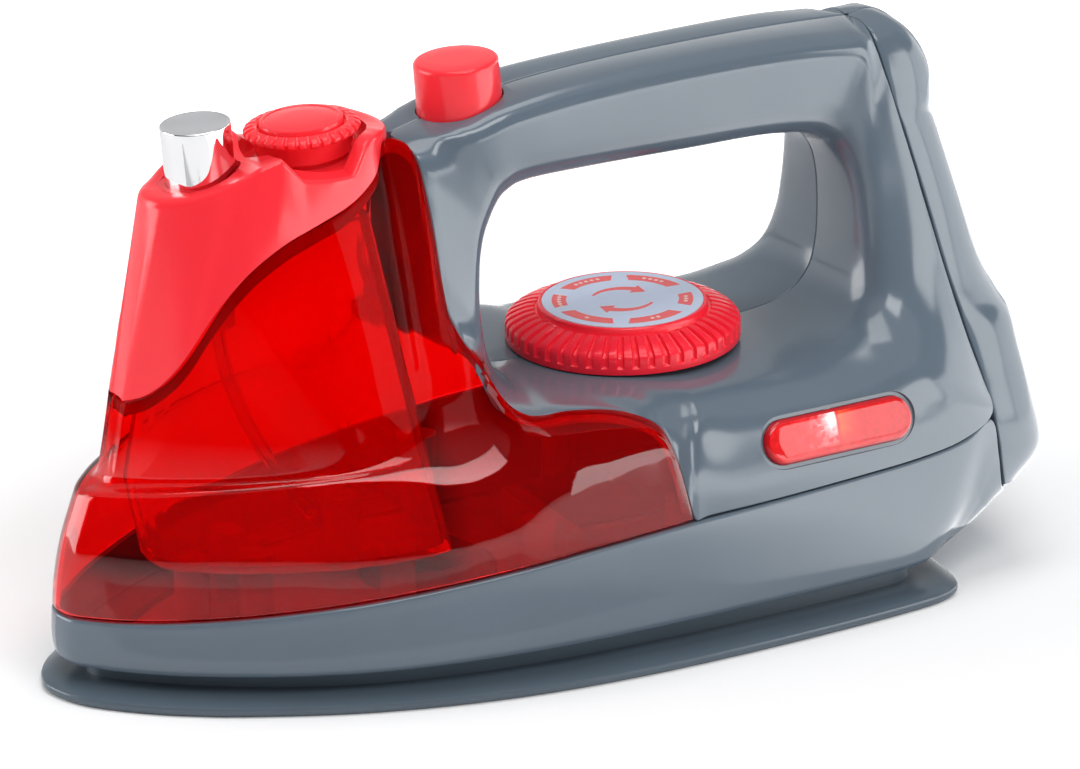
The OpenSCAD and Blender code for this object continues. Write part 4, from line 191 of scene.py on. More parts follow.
HEAD = [
    ((19.4, 0, 66.6), (26.7, 0, 111.4), (28, 0, 112.2), (31.5, 0, 112.8), (1.5, 1.2)),
    ((19.3, 2, 66.6), (27.1, 3.3, 111.5), (28.4, 3, 112.3), (32, 0, 112.8), (1.5, 1.2)),
    ((19, 4, 67), (28.8, 6.2, 111.7), (30, 5.6, 112.5), (33, 0, 112.9), (1.5, 1.2)),
    ((21.8, 8.6, 69), (31.9, 8.9, 112.3), (32.9, 8, 113.1), (35.5, 0, 113.1), (1.5, 1.2)),
    ((24.6, 13.1, 73), (35.1, 11.3, 113.5), (36, 10.3, 114.1), (38.5, 0, 113.4), (1.5, 1.2)),
    ((27.7, 17.1, 79), (38.6, 13.4, 115), (39.2, 12.1, 115.3), (42, 0, 113.9), (1.5, 1.2)),
    ((33, 21.2, 89.3), (42.6, 15.9, 117.5), (43.1, 14.3, 117.4), (46, 0, 115.2), (1.5, 1.2)),
    ((40.4, 23, 97.8), (46.8, 17.6, 120.2), (47.2, 15.9, 119.9), (49.5, 0, 116.6), (1.5, 1.2)),
    ((49.1, 23, 103.2), (51.6, 18.4, 121.8), (52, 16.6, 121.3), (54, 0, 117.8), (1.5, 1)),
    ((57.5, 22, 106.1), (56.4, 19.2, 116.4), (56.8, 17.6, 116.4), (58.5, 0, 117.2), (1.3, 0.8)),
    ((66.4, 20, 108.7), (63, 19.2, 115.6), (63, 17.6, 115.6), (63.5, 0, 116.8), (1.3, 0.8)),
    ((72, 18, 111.3), (68.6, 18.4, 115.4), (68.2, 16.8, 115.4), (68, 0, 117.2), (1.3, 0.8)),
    ((75.7, 16, 114.3), (73.6, 15.6, 121.2), (72.6, 14.2, 121.4), (71, 0, 121.2), (1.5, 1.2)),
    ((78.7, 12, 118.9), (78.4, 11.8, 122), (77.4, 10.6, 122.2), (74, 0, 121.4), (1.5, 1.2)),
    ((81.4, 8.6, 118.6), (81.2, 8.2, 121.6), (80, 7.4, 121.9), (76, 0, 121.6), (1.5, 1.2)),
    ((83.6, 4.4, 118), (83.4, 4.2, 121.2), (82, 3.8, 121.6), (77.5, 0, 121.6), (1.5, 1.2)),
    ((84.4, 0, 117.8), (84.2, 0, 121), (82.8, 0, 121.5), (78.5, 0, 121.6), (1.5, 1.2)),
]
SOLE = [
    (0, 0), (0.7, 3.8), (2.5, 8.4), (6.6, 14.2), (15.3, 22.2), (24.5, 28.6), (34.2, 34), (54.2, 42.9),
    (75.6, 49.4), (98.3, 53.5), (122.7, 55.2), (148.7, 55), (176.2, 53.5), (196, 51.6), (204.5, 49.8),
    (209.4, 46.6), (211.8, 40.5), (213.2, 28), (213.9, 14), (214.1, 0),
]
RISER = [
    (10.2, 0), (11.1, 3.3), (13.3, 6), (18, 10.3), (25.5, 16.4), (36.3, 23.5), (48.6, 30), (62.8, 35.7),
    (78.3, 39.7), (95.8, 42.4), (114.4, 43.8), (136, 44), (155.8, 43.6), (175.4, 42.8), (190.8, 41.7),
    (197.4, 40.6), (200.4, 38.9), (201.4, 37.4), (202.1, 35.6), (203.2, 31.6), (204.2, 25),
    (204.6, 13.9), (204.8, 0),
]

# Skins

END_SHARE, MID_SHARE = 0.9, 0.5  # most of an end side, or of another side, that a corner takes
ROLL_SHARE = 0.8  # most of the last step of a section that a rounded rim takes
WELD_REACH, SLIVER = 2e-6, 1e-6  # points this close are welded, edges this short are dissolved, m
SHARP_ANGLE = math.radians(32)


def rows_of(table):
    out = []
    for *pts, reach in table:
        out.append([[*p, r] for p, r in zip(pts, (0, *reach, 0))])
    return np.array(out, float)


def smooth(rows, n, closed, ease=1.0):
    """Curve through the rows, n steps between two of them; an ease below one stiffens it."""
    m = len(rows)
    ease = np.broadcast_to(ease, rows.shape)
    out = []
    for at in range(m if closed else m - 1):
        near = (at - 1, at, at + 1, at + 2)
        h, i, j, k = [q % m if closed else min(max(q, 0), m - 1) for q in near]
        step = rows[j] - rows[i]
        start = ease[i] * (rows[j] - rows[h]) / 2 + (1 - ease[i]) * step
        end = ease[j] * (rows[k] - rows[i]) / 2 + (1 - ease[j]) * step
        for t in np.arange(n) / n:
            out.append(rows[i] + step * (3 * t * t - 2 * t ** 3) + start * (t - 2 * t * t + t ** 3)
                       + end * (t ** 3 - t * t))
    if not closed:
        out.append(rows[-1])
    return np.array(out)


def unit(v):
    return v / np.maximum(np.linalg.norm(v, axis=-1, keepdims=True), 1e-9)


def section(row, m, first, last):
    """One section: its corners rounded, its two ends drawn back by first and last."""
    p, r = row[:, :3], row[:, 3]
    k = len(p)
    out = []
    for i in range(1, k - 1):
        u, v = p[i - 1] - p[i], p[i + 1] - p[i]
        lu, lv = np.linalg.norm(u), np.linalg.norm(v)
        a = p[i] + u / lu * min(r[i], lu * (END_SHARE if i == 1 else MID_SHARE))
        c = p[i] + v / lv * min(r[i], lv * (END_SHARE if i == k - 2 else MID_SHARE))
        for t in np.linspace(0, 1, m + 1):
            out.append((1 - t) ** 2 * a + 2 * t * (1 - t) * p[i] + t * t * c)
    start, end = out[0] - p[0], out[-1] - p[-1]
    out.insert(0, p[0] + unit(start) * min(first, np.linalg.norm(start) / 2))
    out.append(p[-1] + unit(end) * min(last, np.linalg.norm(end) / 2))
    return np.array(out)


def half_grid(table, n, m, closed, first, last, ease=1.0):
    """Left half of a skin as a grid in the shared frame, mm: n steps between rows, m round a corner."""
    rows = smooth(rows_of(table), n, closed, ease)
    grid = np.array([section(r, m, first, last) for r in rows])
    grid[..., 0] += NOSE
    grid[..., 1] *= -1
    return grid


def normals_of(grid, closed):
    du = np.roll(grid, -1, 0) - np.roll(grid, 1, 0)
    if not closed:
        du[0] = grid[1] - grid[0]
        du[-1] = grid[-1] - grid[-2]
    dv = np.empty_like(grid)
    dv[:, 1:-1] = grid[:, 2:] - grid[:, :-2]
    dv[:, 0] = grid[:, 1] - grid[:, 0]
    dv[:, -1] = grid[:, -1] - grid[:, -2]
    return unit(np.cross(du, dv))


def outward(half, closed=False):
    """Sign that turns the normals of a left half outward."""
    return -np.sign(normals_of(half, closed)[..., 1].mean())


def new_object(name, verts, faces, lining=None):
    """Object from points and faces; faces from point number lining on get the second material."""
    mesh = bpy.data.meshes.new(name)
    mesh.from_pydata([tuple(v) for v in verts], [], [tuple(f) for f in faces])
    for f in mesh.polygons:
        f.material_index = int(lining is not None and min(f.vertices) >= lining)
    obj = bpy.data.objects.new(name, mesh)
    bpy.context.scene.collection.objects.link(obj)
    tidy(obj)
    return obj


def tidy(obj):
    """Welds, turns the faces outward, and shades smooth except over sharp edges."""
    bm = bmesh.new()
    bm.from_mesh(obj.data)
    bmesh.ops.remove_doubles(bm, verts=bm.verts, dist=WELD_REACH)
    bmesh.ops.dissolve_degenerate(bm, edges=bm.edges, dist=SLIVER)
    bmesh.ops.recalc_face_normals(bm, faces=bm.faces)
    if bm.calc_volume(signed=True) < 0:
        bmesh.ops.reverse_faces(bm, faces=bm.faces)
    for f in bm.faces:
        f.smooth = True
    for e in bm.edges:
        e.smooth = len(e.link_faces) == 2 and e.calc_face_angle(0) < SHARP_ANGLE
    bm.to_mesh(obj.data)
    bm.free()


def rolled(p, n, r, at_end, steps=3):
    """Rounded edge at one end of each section, r deep."""
    q, near = (p[:, -1], p[:, -2]) if at_end else (p[:, 0], p[:, 1])
    nn = n[:, -1] if at_end else n[:, 0]
    t = unit(q - near)
    rr = np.minimum(r, ROLL_SHARE * np.linalg.norm(q - near, axis=-1))[:, None]
    c = q - t * rr - nn * rr
    arc = [c + nn * rr * math.cos(a) + t * rr * math.sin(a) for a in np.linspace(0, math.pi / 2, steps + 1)]
    return arc if at_end else arc[::-1]


def shell(name, grid, wall, closed, sign, roll=(0.4, 0.4), weld=False, lined=False):
    """Closed wall behind a grid: outer skin with rounded rims, inner skin, edges.

    A welded wall has its last points on the middle plane; a lined one has its own material inside.
    """
    n = normals_of(grid, closed) * sign
    if weld:
        n[:, -1, 1] = 0
        n[:, -1] = unit(n[:, -1])
    lining = grid - n * wall
    cols = rolled(grid, n, roll[0], False) + [grid[:, j] for j in range(1, grid.shape[1] - 1)]
    cols += [grid[:, -1]] if weld else rolled(grid, n, roll[1], True)
    skin = np.stack(cols, 1)
    u, vo, vi = len(grid), skin.shape[1], lining.shape[1]
    verts = np.concatenate([skin.reshape(-1, 3), lining.reshape(-1, 3)]) * MM

    def o(i, j):
        return (i % u) * vo + j

    def k(i, j):
        return u * vo + (i % u) * vi + j

    faces = []
    for i in range(u if closed else u - 1):
        faces += [(o(i, j), o(i + 1, j), o(i + 1, j + 1), o(i, j + 1)) for j in range(vo - 1)]
        faces += [(k(i, j), k(i, j + 1), k(i + 1, j + 1), k(i + 1, j)) for j in range(vi - 1)]
        faces.append((o(i + 1, 0), o(i, 0), k(i, 0), k(i + 1, 0)))
        if not weld:
            faces.append((o(i, vo - 1), o(i + 1, vo - 1), k(i + 1, vi - 1), k(i, vi - 1)))
    if not closed:
        for i in (0, u - 1):
            faces.append([o(i, j) for j in range(vo)] + [k(i, j) for j in reversed(range(vi))])
    return new_object(name, verts, faces, u * vo if lined else None)


def filled(name, grid, sign, depth, apex):
    """Solid that fills a welded cap from depth behind its skin down to one point."""
    n = normals_of(grid, True) * sign
    n[:, -1, 1] = 0
    core = grid - unit(n) * depth
    u, v = core.shape[:2]
    verts = np.concatenate([core.reshape(-1, 3), [apex]]) * MM
    faces = [(i * v + j, (i + 1) % u * v + j, (i + 1) % u * v + j + 1, i * v + j + 1)
             for i in range(u) for j in range(v - 1)]
    faces += [(i * v, (i + 1) % u * v, u * v) for i in range(u)]
    return new_object(name, verts, faces)


def mirrored(grid):
    return grid * np.array([1, -1, 1])


def mirror_copy(obj, name):
    other = obj.copy()
    other.data = obj.data.copy()
    other.name = name
    other.data.transform(Matrix.Scale(-1, 4, (0, 1, 0)))
    other.data.flip_normals()
    bpy.context.scene.collection.objects.link(other)
    return other


# Turned pieces and cutters


def place(x, z, lean):
    """Matrix of a control: its foot on the middle plane, its axis leaning forward."""
    return Matrix.Translation((x * MM, 0, z * MM)) @ Matrix.Rotation(math.radians(-lean), 4, "Y")


def arc_points(cx, cy, r, a0, a1, steps):
    return [(cx + r * math.cos(math.radians(a)), cy + r * math.sin(math.radians(a)))
            for a in np.linspace(a0, a1, steps + 1)]


def lathe(name, profile, matrix, seg=96, shape=None):
    """Turned solid from a profile of (radius, height); shape(i, angle) may change a radius and height."""
    verts, faces = [], []
    n = len(profile)
    for s in range(seg):
        a = 2 * math.pi * s / seg
        for i, (r, z) in enumerate(profile):
            dr, dz = shape(i, a) if shape else (0, 0)
            spot = ((r + dr) * math.cos(a) * MM, (r + dr) * math.sin(a) * MM, (z + dz) * MM)
            verts.append(matrix @ Vector(spot))
    off_axis = max(profile[0][0], profile[-1][0]) > 0.01
    for s in range(seg):
        t = (s + 1) % seg
        faces += [(s * n + i, t * n + i, t * n + i + 1, s * n + i + 1) for i in range(n - 1)]
        if off_axis:
            faces.append((s * n + n - 1, t * n + n - 1, t * n, s * n))
    return new_object(name, verts, faces)


def rod(r, z0, z1, matrix, seg=96):
    return lathe("cutter", [(0, z0), (r, z0), (r, z1), (0, z1)], matrix, seg)


def pill_loop(length, height, seg=24):
    half = (length - height) / 2
    return arc_points(half, 0, height / 2, -90, 90, seg) + arc_points(-half, 0, height / 2, 90, 270, seg)


def stacked(name, loops, matrix):
    """Solid through loops of equal count, each a list of (x, y, z) in mm."""
    verts = [matrix @ (Vector(p) * MM) for loop in loops for p in loop]
    n = len(loops[0])
    faces = [tuple(range(n)), tuple(range((len(loops) - 1) * n, len(loops) * n))]
    for k in range(len(loops) - 1):
        for i in range(n):
            j = (i + 1) % n
            faces.append((k * n + i, k * n + j, (k + 1) * n + j, (k + 1) * n + i))
    return new_object(name, verts, faces)


def boolean(obj, cutters, joined=()):
    """Joins the pieces of joined to a closed object, then takes the cutters away."""
    steps = [("UNION", other) for other in joined] + [("DIFFERENCE", other) for other in cutters]
    for operation, other in steps:
        mod = obj.modifiers.new("cut", "BOOLEAN")
        mod.operation = operation
        mod.solver = "MANIFOLD"
        mod.object = other
        bpy.context.view_layer.update()
        obj.data = bpy.data.meshes.new_from_object(obj.evaluated_get(bpy.context.evaluated_depsgraph_get()))
        obj.modifiers.clear()
        bpy.data.objects.remove(other)
    tidy(obj)


# Camera

PHOTO_WIDTH = 1080
FOCAL_PIXELS = 5000
SENSOR = 36
CAMERA_PLACE = (-0.50089, -0.94901, 0.45111)
CAMERA_AXES = ((0.88295, -0.46947, 0), (0.16364, 0.30777, 0.93728), (-0.44003, -0.82757, 0.34857))

camera = bpy.data.objects.new("camera", bpy.data.cameras.new("camera"))
bpy.context.scene.collection.objects.link(camera)
bpy.context.scene.camera = camera
camera.matrix_world = Matrix.Translation(CAMERA_PLACE) @ Matrix(CAMERA_AXES).transposed().to_4x4()
camera.data.sensor_width = SENSOR
camera.data.lens = FOCAL_PIXELS / PHOTO_WIDTH * SENSOR

# Materials

WHITE = (1, 1, 1, 1)
DRIFT_SCALE, UNEVEN_SCALE = 38, 120  # noise scales of the colour drift and of the uneven roughness
NOISE_LOW, NOISE_HIGH = 0.3, 0.7  # part of the noise that is stretched over a drift
BUMP_DEPTH = 0.0002


class Look:
    """Node material: Principled shader with colour drift, uneven roughness and fine bump."""

    def __init__(self, name, color, rough, drift, grain, bump, rough_drift, **sockets):
        self.mat = bpy.data.materials.new(name)
        self.mat.use_nodes = True
        self.tree = self.mat.node_tree
        self.shader = self.tree.nodes["Principled BSDF"]
        self.coord = self.node("ShaderNodeTexCoord").outputs["Object"]
        dark = tuple(c * (1 - drift) for c in color) + (1,)
        light = tuple(min(1, c * (1 + drift)) for c in color) + (1,)
        stops = ((NOISE_LOW, dark), (NOISE_HIGH, light))
        self.link(self.ramp(self.noise(DRIFT_SCALE, 3), stops), "Base Color")
        low, high = max(0.0, rough - rough_drift), rough + rough_drift
        uneven = self.noise(UNEVEN_SCALE, 4)
        self.link(self.range(uneven, NOISE_LOW, NOISE_HIGH, low, high), "Roughness")
        if bump:
            node = self.node("ShaderNodeBump")
            node.inputs["Strength"].default_value = bump
            node.inputs["Distance"].default_value = BUMP_DEPTH
            self.tree.links.new(self.noise(grain, 2), node.inputs["Height"])
            self.tree.links.new(node.outputs["Normal"], self.shader.inputs["Normal"])
        for key, value in sockets.items():
            self.shader.inputs[key.replace("_", " ")].default_value = value

    def node(self, kind):
        return self.tree.nodes.new(kind)

    def link(self, out, socket):
        self.tree.links.new(out, self.shader.inputs[socket])

    def noise(self, scale, detail):
        node = self.node("ShaderNodeTexNoise")
        node.inputs["Scale"].default_value = scale
        node.inputs["Detail"].default_value = detail
        self.tree.links.new(self.coord, node.inputs["Vector"])
        return node.outputs["Fac"]

    def ramp(self, fac, stops):
        node = self.node("ShaderNodeValToRGB")
        for e, (at, color) in zip(node.color_ramp.elements, stops):
            e.position = at
            e.color = color
        self.tree.links.new(fac, node.inputs["Fac"])
        return node.outputs["Color"]

    def range(self, fac, a0, a1, b0, b1):
        node = self.node("ShaderNodeMapRange")
        for key, value in (("From Min", a0), ("From Max", a1), ("To Min", b0), ("To Max", b1)):
            node.inputs[key].default_value = value
        self.tree.links.new(fac, node.inputs["Value"])
        return node.outputs["Result"]

    def distance(self, point):
        node = self.node("ShaderNodeVectorMath")
        node.operation = "DISTANCE"
        node.inputs[1].default_value = point
        self.tree.links.new(self.coord, node.inputs[0])
        return node.outputs["Value"]

    def math(self, operation, a, b):
        """One sum of two sockets or numbers."""
        node = self.node("ShaderNodeMath")
        node.operation = operation
        for socket, value in zip(node.inputs, (a, b)):
            if isinstance(value, (int, float)):
                socket.default_value = value
            else:
                self.tree.links.new(value, socket)
        return node.outputs[0]

    def product(self, first, *others):
        for other in others:
            first = self.math("MULTIPLY", first, other)
        return first

    def along(self, axis, origin=ORIGIN):
        """Millimetres along an axis from an origin."""
        node = self.node("ShaderNodeVectorMath")
        node.operation = "DOT_PRODUCT"
        node.inputs[1].default_value = axis
        self.tree.links.new(self.coord, node.inputs[0])
        return self.math("MULTIPLY", self.math("SUBTRACT", node.outputs["Value"], axis.dot(origin)), 1 / MM)

    def blend(self, fac, a, b):
        """Colour between two, either of which may be a socket; they are inputs 6 and 7 of the node."""
        node = self.node("ShaderNodeMix")
        node.data_type = "RGBA"
        self.tree.links.new(fac, node.inputs["Factor"])
        for socket, value in ((node.inputs[6], a), (node.inputs[7], b)):
            if isinstance(value, tuple):
                socket.default_value = value + (1,)
            else:
                self.tree.links.new(value, socket)
        return node.outputs[2]

    def on(self, *objs):
        for obj in objs:
            obj.data.materials.clear()
            obj.data.materials.append(self.mat)


# Each look: name, colour, roughness, colour drift, scale of the grain, bump strength, roughness drift.
grey = Look("grey_plastic", (0.113, 0.148, 0.186), 0.15, 0.025, 1100, 0.012, 0.02, Specular_IOR_Level=0.6)
sole_grey = Look("sole_plastic", (0.085, 0.113, 0.142), 0.22, 0.03, 1300, 0.015, 0.03, Specular_IOR_Level=0.4)
red = Look("red_plastic", (0.96, 0.03, 0.045), 0.2, 0.03, 1500, 0.012, 0.03, Subsurface_Weight=0.12,
           Subsurface_Scale=0.002, Specular_IOR_Level=0.38)
neck_red = Look("neck_plastic", (0.86, 0.022, 0.035), 0.3, 0.05, 1500, 0.05, 0.05, Subsurface_Weight=0.1,
                Subsurface_Scale=0.002)
dial_red = Look("dial_plastic", (0.93, 0.018, 0.04), 0.24, 0.04, 1500, 0.03, 0.05, Subsurface_Weight=0.08,
                Subsurface_Scale=0.002, Specular_IOR_Level=0.35)
CLEAR = (1.0, 0.006, 0.008)
clear_red = Look("clear_red", CLEAR, 0.03, 0.02, 160, 0.02, 0.015, IOR=1.05, Coat_Roughness=0.03)
lining_red = Look("clear_red_lining", CLEAR, 0.03, 0.02, 160, 0.02, 0.015, IOR=1.05)
tank_red = Look("tank_red", (1.0, 0.2, 0.17), 0.06, 0.03, 200, 0.03, 0.02, Transmission_Weight=0.85, IOR=1.08)
tube_clear = Look("tube_clear", (1.0, 0.72, 0.68), 0.1, 0.05, 400, 0.03, 0.03, Transmission_Weight=0.95,
                  IOR=1.12)
label_film = Look("label_film", (0.59, 0.67, 0.83), 0.48, 0.03, 900, 0.03, 0.05)
label_ink = Look("label_ink", (0.88, 0.1, 0.1), 0.36, 0.05, 900, 0.03, 0.05)
label_dot = Look("label_dot", (0.86, 0.66, 0.62), 0.36, 0.05, 900, 0.03, 0.05)
chrome = Look("chrome", (0.86, 0.86, 0.87), 0.05, 0.02, 700, 0.015, 0.02, Metallic=1.0)
chrome_top = Look("chrome_top", (0.55, 0.56, 0.58), 0.42, 0.04, 1600, 0.08, 0.06, Metallic=0.6)
white = Look("natural_plastic", (0.82, 0.81, 0.79), 0.45, 0.04, 900, 0.06, 0.06)
# Dark red of the inner parts; on the spray head's lip it is painted shade.
inner = Look("inner_plastic_and_painted_shade", (0.2, 0.02, 0.025), 0.5, 0.05, 900, 0.06, 0.06)
steel = Look("steel", (0.62, 0.62, 0.64), 0.28, 0.05, 1200, 0.06, 0.08, Metallic=1.0)
board = Look("board", (0.03, 0.18, 0.08), 0.35, 0.12, 500, 0.08, 0.06)
black = Look("speaker_black", (0.03, 0.03, 0.035), 0.6, 0.1, 700, 0.1, 0.08)
cell = Look("cell_sleeve", (0.25, 0.26, 0.28), 0.3, 0.08, 600, 0.04, 0.05)

# The shroud is clearest in front of the tank, and its coat thins above the ledge.
WINDOW_BACK, WINDOW_FOOT, COAT_FADE = (76, 84), (27, 32), (50, 60)
for look in (clear_red, lining_red):
    back = look.range(look.along(BACK, Vector((NOSE * MM, 0, 0))), *WINDOW_BACK, 1, 0)
    window = look.product(back, look.range(look.along(UP), *WINDOW_FOOT, 0, 1))
    look.link(look.range(window, 0, 1, 0.92, 1.0), "Transmission Weight")
clear_red.link(clear_red.range(clear_red.along(UP), *COAT_FADE, 1.0, 0.05), "Coat Weight")

SLOT_LOOKS = {
    "grey": grey, "sole_grey": sole_grey, "clear_red": clear_red, "tank_red": tank_red, "red": red,
    "neck_red": neck_red, "dial_red": dial_red, "label": label_film, "chrome": chrome, "white": white,
    "frame": inner, "tube": tube_clear, "steel": steel, "board": board, "speaker": black, "cell": cell,
    "lens": clear_red, "lamp": white,
}
for part in frame["record"]["subparts"]:
    SLOT_LOOKS[part["material_slot"]].on(NODE[part["node"]])


def add(obj, body, slot, *nodes, look=None):
    """Puts a piece on a body and in the place of CAD nodes, with its slot's look or another."""
    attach(obj, body)
    if nodes:
        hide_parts(*nodes)
    (look or SLOT_LOOKS[slot]).on(obj)

# Sizes shared by the pieces, mm

GAP = 0.22  # half of an open seam
PART_LINE = 0.12  # half of the parting line between two halves
WALL, THIN = 1.7, 1.2  # grey and red walls
BUTTON_R, BUTTON_TOP, BUTTON_PLAY, BUTTON_SEAT = 9.75, 11.8, 0.3, -5.5
SPRAY_R, SPRAY_TOP, SPRAY_WELL_R, SPRAY_WELL_FOOT = 7.8, 13.1, 9.0, -12
FILL_WELL_R, FILL_BORE_R, FILL_BORE_FOOT = 14.2, 7.6, -20
DIAL_R, DIAL_PLAY, DIAL_SEAT = 27.2, 0.6, 0.05
LENS_LENGTH, LENS_HEIGHT = 40, 10.4

BUTTON = place(-16.5085, 120.602, 4.9)
SPRAY = place(-79.8915, 113.597, 5)
FILLER = place(-54.8998, 115.094, 4.9)
DIAL = place(25.3773, 59.727, 1.2)
LENS_SPOT = Vector((55.912, -46.2576, 46.44)) * MM
LENS_TURN, LENS_LEAN = math.radians(3.2), math.radians(90 - 19)
LENS = Matrix.Translation(LENS_SPOT) @ Matrix.Rotation(LENS_TURN, 4, "Z") @ Matrix.Rotation(LENS_LEAN, 4, "X")

# Grey body

SHELL_TOP = 20  # height at which the cutters of the shells end
grid = half_grid(SHELL, 6, 9, True, PART_LINE, GAP)
grid[..., 1] = np.minimum(grid[..., 1], -PART_LINE)
left = shell("shell_left_skin", grid, WALL, True, outward(grid, True), (0.3, 0.6))
right = mirror_copy(left, "shell_right_skin")
for obj in (left, right):
    boolean(obj, [rod(BUTTON_R + BUTTON_PLAY, BUTTON_SEAT, SHELL_TOP, BUTTON),
                  rod(DIAL_R + DIAL_PLAY, DIAL_SEAT, SHELL_TOP, DIAL, 192)])


def lens_loops(steps):
    """Loops of the lens outline, each at a height with a margin round it."""
    return [[(x, y, z) for x, y in pill_loop(LENS_LENGTH + 2 * m, LENS_HEIGHT + 2 * m)] for z, m in steps]


LENS_SEAT = ((-6, 0.05), (-0.9, 0.05), (-0.85, 0.9), (-0.2, 1.15), (0.5, 1.7), (1.4, 3.2), (6, 12))
boolean(left, [stacked("cutter", lens_loops(LENS_SEAT), LENS)])
add(left, "iron", "grey", "shell_left")
add(right, "iron", "grey", "shell_right")

grid = half_grid(COVER, 7, 9, False, GAP, PART_LINE)
grid[..., 1] = np.minimum(grid[..., 1], -PART_LINE)
cover_left = shell("rear_cover_left_skin", grid, WALL, False, outward(grid))
cover_right = mirror_copy(cover_left, "rear_cover_right_skin")
add(cover_left, "iron", "grey", "rear_cover_left")
add(cover_right, "iron", "grey", "rear_cover_right")

half = half_grid(LOWER, 6, 8, False, GAP, 0)
grid = np.concatenate([half, mirrored(half)[-2:0:-1]])
lower = shell("lower_body_skin", grid, WALL, True, outward(half), (0.7, 0.4))
add(lower, "iron", "grey", "lower_body")


def plan_loop(half, n):
    """Closed smooth outline from the points of its left half."""
    pts = np.array(list(half) + [(x, -w) for x, w in half[-2:0:-1]], float)
    return smooth(pts, n, True)


def inset(loop, d):
    t = unit(np.roll(loop, -1, 0) - np.roll(loop, 1, 0))
    return loop + np.stack([t[:, 1], -t[:, 0]], 1) * d


# Steps of the sole plate's edge: inset, height.
SOLE_EDGE = ((1.0, 0), (0.55, 0.45), (0.12, 0.95), (0, 1.25), (0.02, 1.9), (0.2, 2.25), (0.55, 2.42),
             (3.0, 3.1))
RISER_SPAN = (2.0, 8.8)
DOOR_GAP, DOOR_SPAN = 0.0003, (-2, 3.75)
outline = plan_loop(SOLE, 7)
loops = [[(x + NOSE, y, z) for x, y in inset(outline, d)] for d, z in SOLE_EDGE]
sole = stacked("sole_plate_skin", loops, Matrix())
riser_loops = [[(x + NOSE, y, z) for x, y in plan_loop(RISER, 6)] for z in RISER_SPAN]
riser_block = stacked("riser", riser_loops, Matrix())
low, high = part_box("battery_door")
x0, y0, x1, y1 = low.x - DOOR_GAP, low.y - DOOR_GAP, high.x + DOOR_GAP, high.y + DOOR_GAP
door = [(x0, y0), (x1, y0), (x1, y1), (x0, y1)]
door_loops = [[(x / MM, y / MM, z) for x, y in door] for z in DOOR_SPAN]
boolean(sole, [stacked("cutter", door_loops, Matrix())], [riser_block])
add(sole, "iron", "sole_grey", "sole_plate")

# Red shroud and spray head

half = half_grid(SHROUD, 7, 7, False, GAP, GAP)
sign = outward(half)
grid = np.concatenate([mirrored(half)[:0:-1], half])
shroud = shell("front_shroud_skin", grid, THIN, False, sign, (0.3, 0.3), lined=True)
add(shroud, "iron", "clear_red", "front_shroud")
shroud.data.materials.append(lining_red.mat)

# Lip of the spray head inside the shroud, seen through it below the head's edge; its dark colour is painted
# shade, a dark band that stands in for the shade under the head's rim.
SHADE_LIP_DEPTH, SHADE_LIP_WALL, SHADE_LIP_GAP = 3.2, 0.8, 0.25
shade_lip_rows = grid[:, -1] - normals_of(grid, False)[:, -2] * sign * (THIN + SHADE_LIP_GAP)
down = unit(grid[:, -3] - grid[:, -1])
shade_lip_grid = np.stack([shade_lip_rows + down * SHADE_LIP_DEPTH * t for t in np.linspace(0, 1, 4)], 1)
shade_lip = shell("spray_head_shade_lip", shade_lip_grid[::-1], SHADE_LIP_WALL, False, 1, (0.1, 0.2))
# The dark inner look paints the shade under the head's edge here.
add(shade_lip, "iron", "red", look=inner)

HEAD_CORNERS = slice(7, 12)  # rows at the notch, whose rim turns sharply
CORNER_EASE = 0.1
HEAD_TOP = 30  # height at which the cutters of the head end
FAR = 80  # beyond the head on all sides
WELL_FOOT = -2  # underside of the filler well's floor
CORE_APEX = (50 + NOSE, 0, 95)
ease = np.ones((len(HEAD), 4, 4))
ease[HEAD_CORNERS, 1:] = CORNER_EASE
half = half_grid(HEAD, 7, 6, False, GAP, 0, ease)
sign = outward(half)
grid = np.concatenate([half, mirrored(half)[-2:0:-1]])
head = shell("spray_head_skin", grid, THIN, True, sign, (0.4, 0), True)

# Floor and wall of the filler's well: the filled head, cut down to a round block under the cap.
well = filled("well_floor", grid, sign, THIN * 0.5, CORE_APEX)
block_r, ring_foot = FILL_WELL_R + THIN, WELL_FOOT - 1
ring = [(block_r, ring_foot), (FAR, ring_foot), (FAR, 60), (block_r, 60)]
boolean(well, [lathe("cutter", ring, FILLER), rod(FAR, -FAR, WELL_FOOT, FILLER)])
wells = [rod(SPRAY_WELL_R, SPRAY_WELL_FOOT, HEAD_TOP, SPRAY), rod(FILL_WELL_R, 0, HEAD_TOP, FILLER),
         rod(FILL_BORE_R, FILL_BORE_FOOT, HEAD_TOP, FILLER)]
boolean(head, wells, [well])
add(head, "iron", "red", "spray_head")

# Controls


def fillet(r, z, e, steps=5):
    """Rounded outer top edge of a turned piece, from the side to the top."""
    turns = np.linspace(0, math.pi / 2, steps + 1)
    return [(r - e + e * math.cos(a), z - e + e * math.sin(a)) for a in turns]


CAP_WALL, SKIRT_WALL, SKIRT_FOOT = 1.8, 1.6, -9
profile = [(0, BUTTON_TOP - CAP_WALL), (BUTTON_R - CAP_WALL, BUTTON_TOP - CAP_WALL),
           (BUTTON_R - SKIRT_WALL, SKIRT_FOOT), (BUTTON_R, SKIRT_FOOT), (BUTTON_R, 0)]
profile += fillet(BUTTON_R - 0.15, BUTTON_TOP, 1.0)
profile += [(BUTTON_R * 0.5, BUTTON_TOP + 0.05), (0, BUTTON_TOP + 0.07)]
button = lathe("handle_button_cap", profile, BUTTON)
add(button, "handle_button_body", "red", "handle_button")

